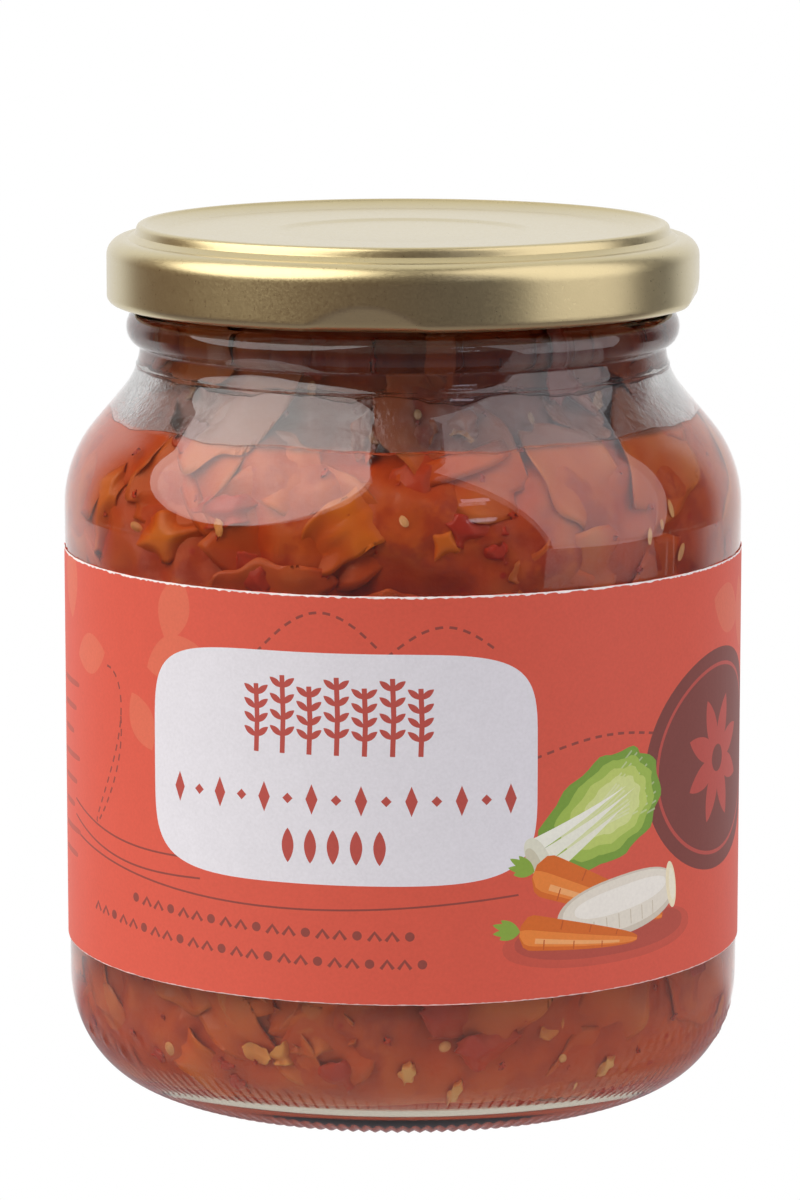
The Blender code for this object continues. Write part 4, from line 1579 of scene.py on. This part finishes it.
class KIMCHI_JAR_OT_label(PieceOperator, bpy.types.Operator):
    """Make the printed paper label"""

    bl_idname = "kimchi_jar.label"
    bl_label = "Label"

    def execute(self, context):
        label = context.scene.kj_label
        radius = label.inner_radius + label.thickness
        half = 0.5 * (TURN - label.gap) * radius / MM
        art = label_print(label, half, label_low.z / MM, label_high.z / MM)
        steps = 140
        verticals = [-half + 2.0 * half * i / steps for i in range(1, steps)]
        sheet = art.mesh("paper_label", verticals)
        given = {"Radius": radius, "Material": label_material(shared("Grain", grain_group))}
        obj = grown("paper_label", wrapped_tree(), given, sheet)
        paper = obj.modifiers.new("paper", "SOLIDIFY")
        paper.thickness = label.thickness
        paper.offset = -1.0
        flatten(obj)
        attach(obj, BODY)
        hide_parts("label")
        return {"FINISHED"}


# Pieces that show through the front: degrees from the front, height, depth, turn, and the
# length and width as shares of the usual piece
FRONT_CABBAGE = (
    (-33.0, 14.5, 0.9, -38.0, 0.9, 0.55),
    (-24.0, 14.0, 1.0, -42.0, 0.85, 0.5),
    (-15.0, 13.5, 1.2, 10.0, 0.5, 0.5),
    (4.5, 86.6, 1.8, 80.0, 0.3, 0.45),
    (12.0, 86.0, 2.2, 100.0, 0.28, 0.4),
    (40.0, 86.6, 1.8, -20.0, 0.5, 0.42),
    (-7.0, 85.0, 1.6, 75.0, 0.32, 0.35),
)
FRONT_AMBER = (
    (-54.0, 92.6, 0.5, 6.0, 0.95, 0.75),
    (9.0, 94.2, 0.5, 84.0, 0.42, 0.42),
    (-9.0, 74.6, 1.1, 32.0, 0.7, 0.6),
    (-63.0, 74.0, 1.2, 70.0, 0.5, 0.5),
    (-46.0, 72.5, 1.5, 15.0, 0.6, 0.45),
    (7.0, 73.6, 1.3, 60.0, 0.3, 0.3),
    (-42.0, 9.0, 1.2, -30.0, 0.7, 0.5),
)
FRONT_RED = (
    (37.0, 93.0, 0.6, 80.0, 0.5, 0.55),
    (12.5, 75.2, 1.0, -10.0, 0.38, 0.32),
    (16.0, 72.2, 1.1, 20.0, 0.2, 0.25),
    (-33.0, 76.4, 1.2, 8.0, 0.45, 0.3),
    (-32.8, 9.6, 0.8, 30.0, 0.14, 0.15),
    (-31.9, 6.9, 0.6, 70.0, 0.12, 0.2),
    (-49.8, 8.6, 0.8, 10.0, 0.12, 0.15),
    (15.0, 12.7, 1.3, 10.0, 0.4, 0.4),
    (-12.0, 8.8, 1.2, 20.0, 0.3, 0.35),
)
FRONT_PALE = (
    (0.9, 9.3, 0.7, 70.0, 0.14, 0.16),
    (9.6, 6.9, 0.6, 65.0, 0.16, 0.12),
    (39.5, 8.2, 0.7, 50.0, 0.14, 0.14),
    (-21.0, 11.2, 0.9, 20.0, 0.2, 0.22),
    (12.0, 84.9, 1.0, -12.0, 0.17, 0.09),
)
FRONT_SEEDS = (
    (52.9, 75.3, 0.5, 88.0, 1.2, 0.8),
    (46.8, 72.7, 0.5, 75.0, 1.0, 0.8),
    (55.4, 70.2, 0.5, 60.0, 1.1, 0.9),
    (50.0, 73.8, 0.5, 100.0, 0.6, 0.6),
    (29.0, 10.2, 0.4, 40.0, 0.5, 0.8),
    (33.5, 6.6, 0.4, 0.0, 0.4, 0.6),
    (3.1, 87.5, 0.6, 20.0, 0.6, 0.9),
)


class KIMCHI_JAR_OT_kimchi(PieceOperator, bpy.types.Operator):
    """Make the heap of kimchi"""

    bl_idname = "kimchi_jar.kimchi"
    bl_label = "Kimchi"

    def execute(self, context):
        jar, kimchi = context.scene.kj_jar, context.scene.kj_kimchi
        veil_and_shade = shared("Brine Veil And Shade", veil_and_shade_group, jar, kimchi)
        given = {
            "Segments": kimchi.core_segments,
            "Dents": 2.4 * MM,
            "Material": core_material(veil_and_shade),
        }
        core = grown("kimchi_core", core_tree(kimchi), given, outline_mesh("kimchi_core", core_outline(jar)))
        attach(core, BODY)
        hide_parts("kimchi")
        tree = shared("Laid Pieces", pieces_tree, jar)
        reach = {
            "Low": jar.floor_height + 3.0 * MM,
            "High": heap_high.z - 4.0 * MM,
            "Start": 0.0,
            "End": TURN,
            "Clearance": 0.28 * MM,
            "Top": heap_high.z - 0.4 * MM,
        }
        # Name, shape, its variety, seed, count, most turn and tilt, sizes, depths, two tones, clear depth
        kinds = (
            ("cabbage_leaves", leaf_shape, 6, 21, kimchi.leaves, FRONT_CABBAGE, (0.9, 0.1), (0.7, 1.2), (1.0, 2.2),
             (0.58, 0.10, 0.012), (0.64, 0.19, 0.04), 1.5),
            ("carrot_strips", strip_shape, 5, 33, kimchi.strips, (), (1.3, 0.06), (0.7, 1.1), (1.6, 2.6),
             (0.60, 0.09, 0.006), (0.66, 0.14, 0.012), 1.6),
            ("amber_leaves", leaf_shape, 4, 71, kimchi.amber_leaves, FRONT_AMBER, (1.2, 0.1), (0.4, 0.8), (0.9, 1.8),
             (0.64, 0.12, 0.004), (0.72, 0.19, 0.008), 1.3),
            ("red_pepper", leaf_shape, 4, 83, kimchi.pepper, FRONT_RED, (1.5, 0.15), (0.2, 0.45), (0.8, 1.8),
             (0.38, 0.012, 0.004), (0.50, 0.03, 0.014), 1.3),
            ("garlic_bits", leaf_shape, 3, 97, kimchi.garlic, FRONT_PALE, (3.1, 0.2), (0.1, 0.22), (0.7, 1.4),
             (0.78, 0.36, 0.08), (0.80, 0.48, 0.16), 1.5),
            ("chilli_flakes", flake_shape, 5, 47, kimchi.flakes, (), (3.1, 0.5), (0.6, 1.1), (0.5, 1.6),
             (0.42, 0.012, 0.004), (0.55, 0.03, 0.01), 1.3),
            ("seeds", seed_shape, 3, 59, kimchi.seeds, FRONT_SEEDS, (3.1, 0.3), (0.7, 1.1), (0.5, 1.6),
             (0.78, 0.44, 0.16), (0.84, 0.60, 0.30), 1.3),
        )
        for name, maker, variety, seed, count, places, turns, sizes, depths, dark, light, clear in kinds:
            given = {
                **reach,
                "Count": count,
                "Turn": turns[0],
                "Tilt": turns[1],
                "Smallest": sizes[0],
                "Largest": sizes[1],
                "Shallow": depths[0] * MM,
                "Deep": depths[1] * MM,
                "Material": piece_material(name, veil_and_shade, dark, light, clear * MM),
            }
            scattered(name, tree, maker, variety, seed, places, given)
        return {"FINISHED"}


class KIMCHI_JAR_OT_brine(PieceOperator, bpy.types.Operator):
    """Make the brine round the kimchi"""

    bl_idname = "kimchi_jar.brine"
    bl_label = "Brine"

    def execute(self, context):
        jar, kimchi = context.scene.kj_jar, context.scene.kj_kimchi
        given = {
            "Segments": 256,
            "Unevenness": 0.5 * MM,
            "Pocket Unevenness": 1.3 * MM,
            "Material": brine_material(kimchi),
        }
        mesh = outline_mesh("brine", brine_outline(jar, kimchi))
        obj = grown("brine", brine_tree(jar, kimchi), given, mesh)
        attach(obj, BODY)
        return {"FINISHED"}


class KIMCHI_JAR_OT_stage(PieceOperator, bpy.types.Operator):
    """Make the floor, the lights and the camera"""

    bl_idname = "kimchi_jar.stage"
    bl_label = "Stage"

    def execute(self, context):
        studio = context.scene.kj_studio
        make_floor()
        make_world(context.scene)
        aimed_light("left_softbox", "DISK", -67.0, 41.6, 1.1, (1.56, 1.56), 2.9 * studio.left_power, (1.0, 0.99, 0.97))
        aimed_light("right_softbox", "RECTANGLE", 73.0, 33.0, 1.1, (1.2, 1.9), 1.5 * studio.right_power, (1.0, 0.97, 1.0))
        aimed_light("upper_window", "RECTANGLE", 27.0, 35.0, 1.3, (0.20, 0.07), 3.0, (0.86, 0.84, 1.0))
        aimed_light("lower_window", "RECTANGLE", 27.0, 18.3, 1.3, (0.20, 0.07), 3.0, (0.86, 0.84, 1.0))
        make_camera(context.scene, studio)
        return {"FINISHED"}


def make_floor():
    """A pale floor lit from below, which the camera sees as plain white."""
    size = 0.55
    edge = [(size * math.cos(TURN * i / 64), size * math.sin(TURN * i / 64), 0.0) for i in range(64)]
    mesh = bpy.data.meshes.new("floor")
    mesh.from_pydata(edge, [], [list(range(64))])
    floor = bpy.data.objects.new("floor", mesh)
    bpy.context.scene.collection.objects.link(floor)
    made, nodes, shader = new_material("floor")
    x, y, z = nodes.separate(nodes.add("ShaderNodeTexCoord").outputs["Object"])
    flat = nodes.vector("LENGTH", nodes.combine(x, y, 0.0))
    near = nodes.ramp(flat, 0.34, 0.10)
    behind = nodes.ramp(nodes.math("DIVIDE", y, nodes.math("MAXIMUM", flat, 0.001)), 0.30, 0.60)
    path = nodes.add("ShaderNodeLightPath").outputs
    tint = nodes.mix(near, (0.32, 0.30, 0.30), (0.74, 0.70, 0.68))
    mirrored = nodes.mix(near, (0.15, 0.12, 0.15), (0.36, 0.32, 0.34))
    mirrored = nodes.mix(behind, mirrored, (1.0, 1.0, 1.0))
    tint = nodes.mix(path["Is Glossy Ray"], tint, mirrored)
    tint = nodes.mix(path["Is Transmission Ray"], tint, (0.82, 0.77, 0.66))
    tint = nodes.mix(path["Is Camera Ray"], tint, (1.0, 1.0, 1.0))
    light = nodes.add("ShaderNodeEmission", {"Color": tint, "Strength": 1.0})
    nodes.feed(made.node_tree.nodes["Material Output"].inputs["Surface"], light)
    made.node_tree.nodes.remove(shader)
    mesh.materials.append(made)


def make_world(scene):
    """White behind the jar and darker on the camera's side, where the studio is."""
    world = bpy.data.worlds.new("studio")
    world.use_nodes = True
    nodes = Nodes(world.node_tree)
    x, y, z = nodes.separate(nodes.add("ShaderNodeTexCoord").outputs["Generated"])
    flat = nodes.vector("LENGTH", nodes.combine(x, y, 0.0))
    behind = nodes.ramp(nodes.math("DIVIDE", y, nodes.math("MAXIMUM", flat, 0.001)), 0.55, 0.78)
    side = nodes.ramp(x, -0.9, 0.6)
    room = nodes.mix(side, (0.20, 0.13, 0.09), (0.12, 0.115, 0.13))
    light = nodes.mix(behind, room, (1.0, 1.0, 1.0))
    seen = nodes.add("ShaderNodeLightPath").outputs["Is Camera Ray"]
    light = nodes.mix(seen, light, (1.0, 1.0, 1.0))
    shader = world.node_tree.nodes["Background"]
    nodes.feed(shader.inputs["Color"], light)
    scene.world = world


def aimed_light(name, shape, azimuth, elevation, distance, size, radiance, tint):
    """A flat light that faces the jar. Azimuth 0 is on the camera's side and 90 to the right."""
    lamp = bpy.data.lights.new(name, "AREA")
    lamp.shape = shape
    lamp.size = size[0]
    lamp.size_y = size[1]
    area = math.pi / 4.0 * size[0] * size[0] if shape == "DISK" else size[0] * size[1]
    lamp.energy = radiance * math.pi * area
    lamp.color = tint
    obj = bpy.data.objects.new(name, lamp)
    bpy.context.scene.collection.objects.link(obj)
    a, e = math.radians(azimuth), math.radians(elevation)
    way = Vector((math.sin(a) * math.cos(e), -math.cos(a) * math.cos(e), math.sin(e)))
    obj.location = way * distance + Vector((0.0, 0.0, 0.08))
    obj.rotation_euler = way.to_track_quat("Z", "Y").to_euler()
    obj.visible_camera = False


def make_camera(scene, studio):
    camera = bpy.data.cameras.new("camera")
    camera.lens = studio.lens
    camera.sensor_width = 36.0
    camera.clip_start = 0.05
    obj = bpy.data.objects.new("camera", camera)
    scene.collection.objects.link(obj)
    obj.location = (-0.00037, -0.64131, 0.168115)
    obj.rotation_euler = (math.radians(90.0 - 9.5442), 0.0, 0.0)
    scene.camera = obj
    scene.view_settings.view_transform = "Standard"
    scene.cycles.max_bounces = 16
    scene.cycles.transmission_bounces = 14
    scene.cycles.transparent_max_bounces = 16
    scene.cycles.diffuse_bounces = 4


OPERATORS = (
    KIMCHI_JAR_OT_glass,
    KIMCHI_JAR_OT_lid,
    KIMCHI_JAR_OT_label,
    KIMCHI_JAR_OT_kimchi,
    KIMCHI_JAR_OT_brine,
    KIMCHI_JAR_OT_stage,
)


class KIMCHI_JAR_PT_panel(bpy.types.Panel):
    """Lists the pieces of the jar"""

    bl_label = "Kimchi Jar"
    bl_idname = "KIMCHI_JAR_PT_panel"
    bl_space_type = "VIEW_3D"
    bl_region_type = "UI"
    bl_category = "Kimchi Jar"

    def draw(self, context):
        for operator in OPERATORS:
            self.layout.operator(operator.bl_idname)


SETTINGS = {
    "kj_jar": JarSettings,
    "kj_lid": LidSettings,
    "kj_label": LabelSettings,
    "kj_kimchi": KimchiSettings,
    "kj_studio": StudioSettings,
}


def register():
    for kind in (*SETTINGS.values(), *OPERATORS, KIMCHI_JAR_PT_panel):
        bpy.utils.register_class(kind)
    for name, kind in SETTINGS.items():
        setattr(bpy.types.Scene, name, PointerProperty(type=kind))


def unregister():
    for name in SETTINGS:
        delattr(bpy.types.Scene, name)
    for kind in reversed((*SETTINGS.values(), *OPERATORS, KIMCHI_JAR_PT_panel)):
        bpy.utils.unregister_class(kind)


def main():
    register()
    for operator in OPERATORS:
        group, name = operator.bl_idname.split(".")
        getattr(getattr(bpy.ops, group), name)()


if __name__ == "__main__":
    main()
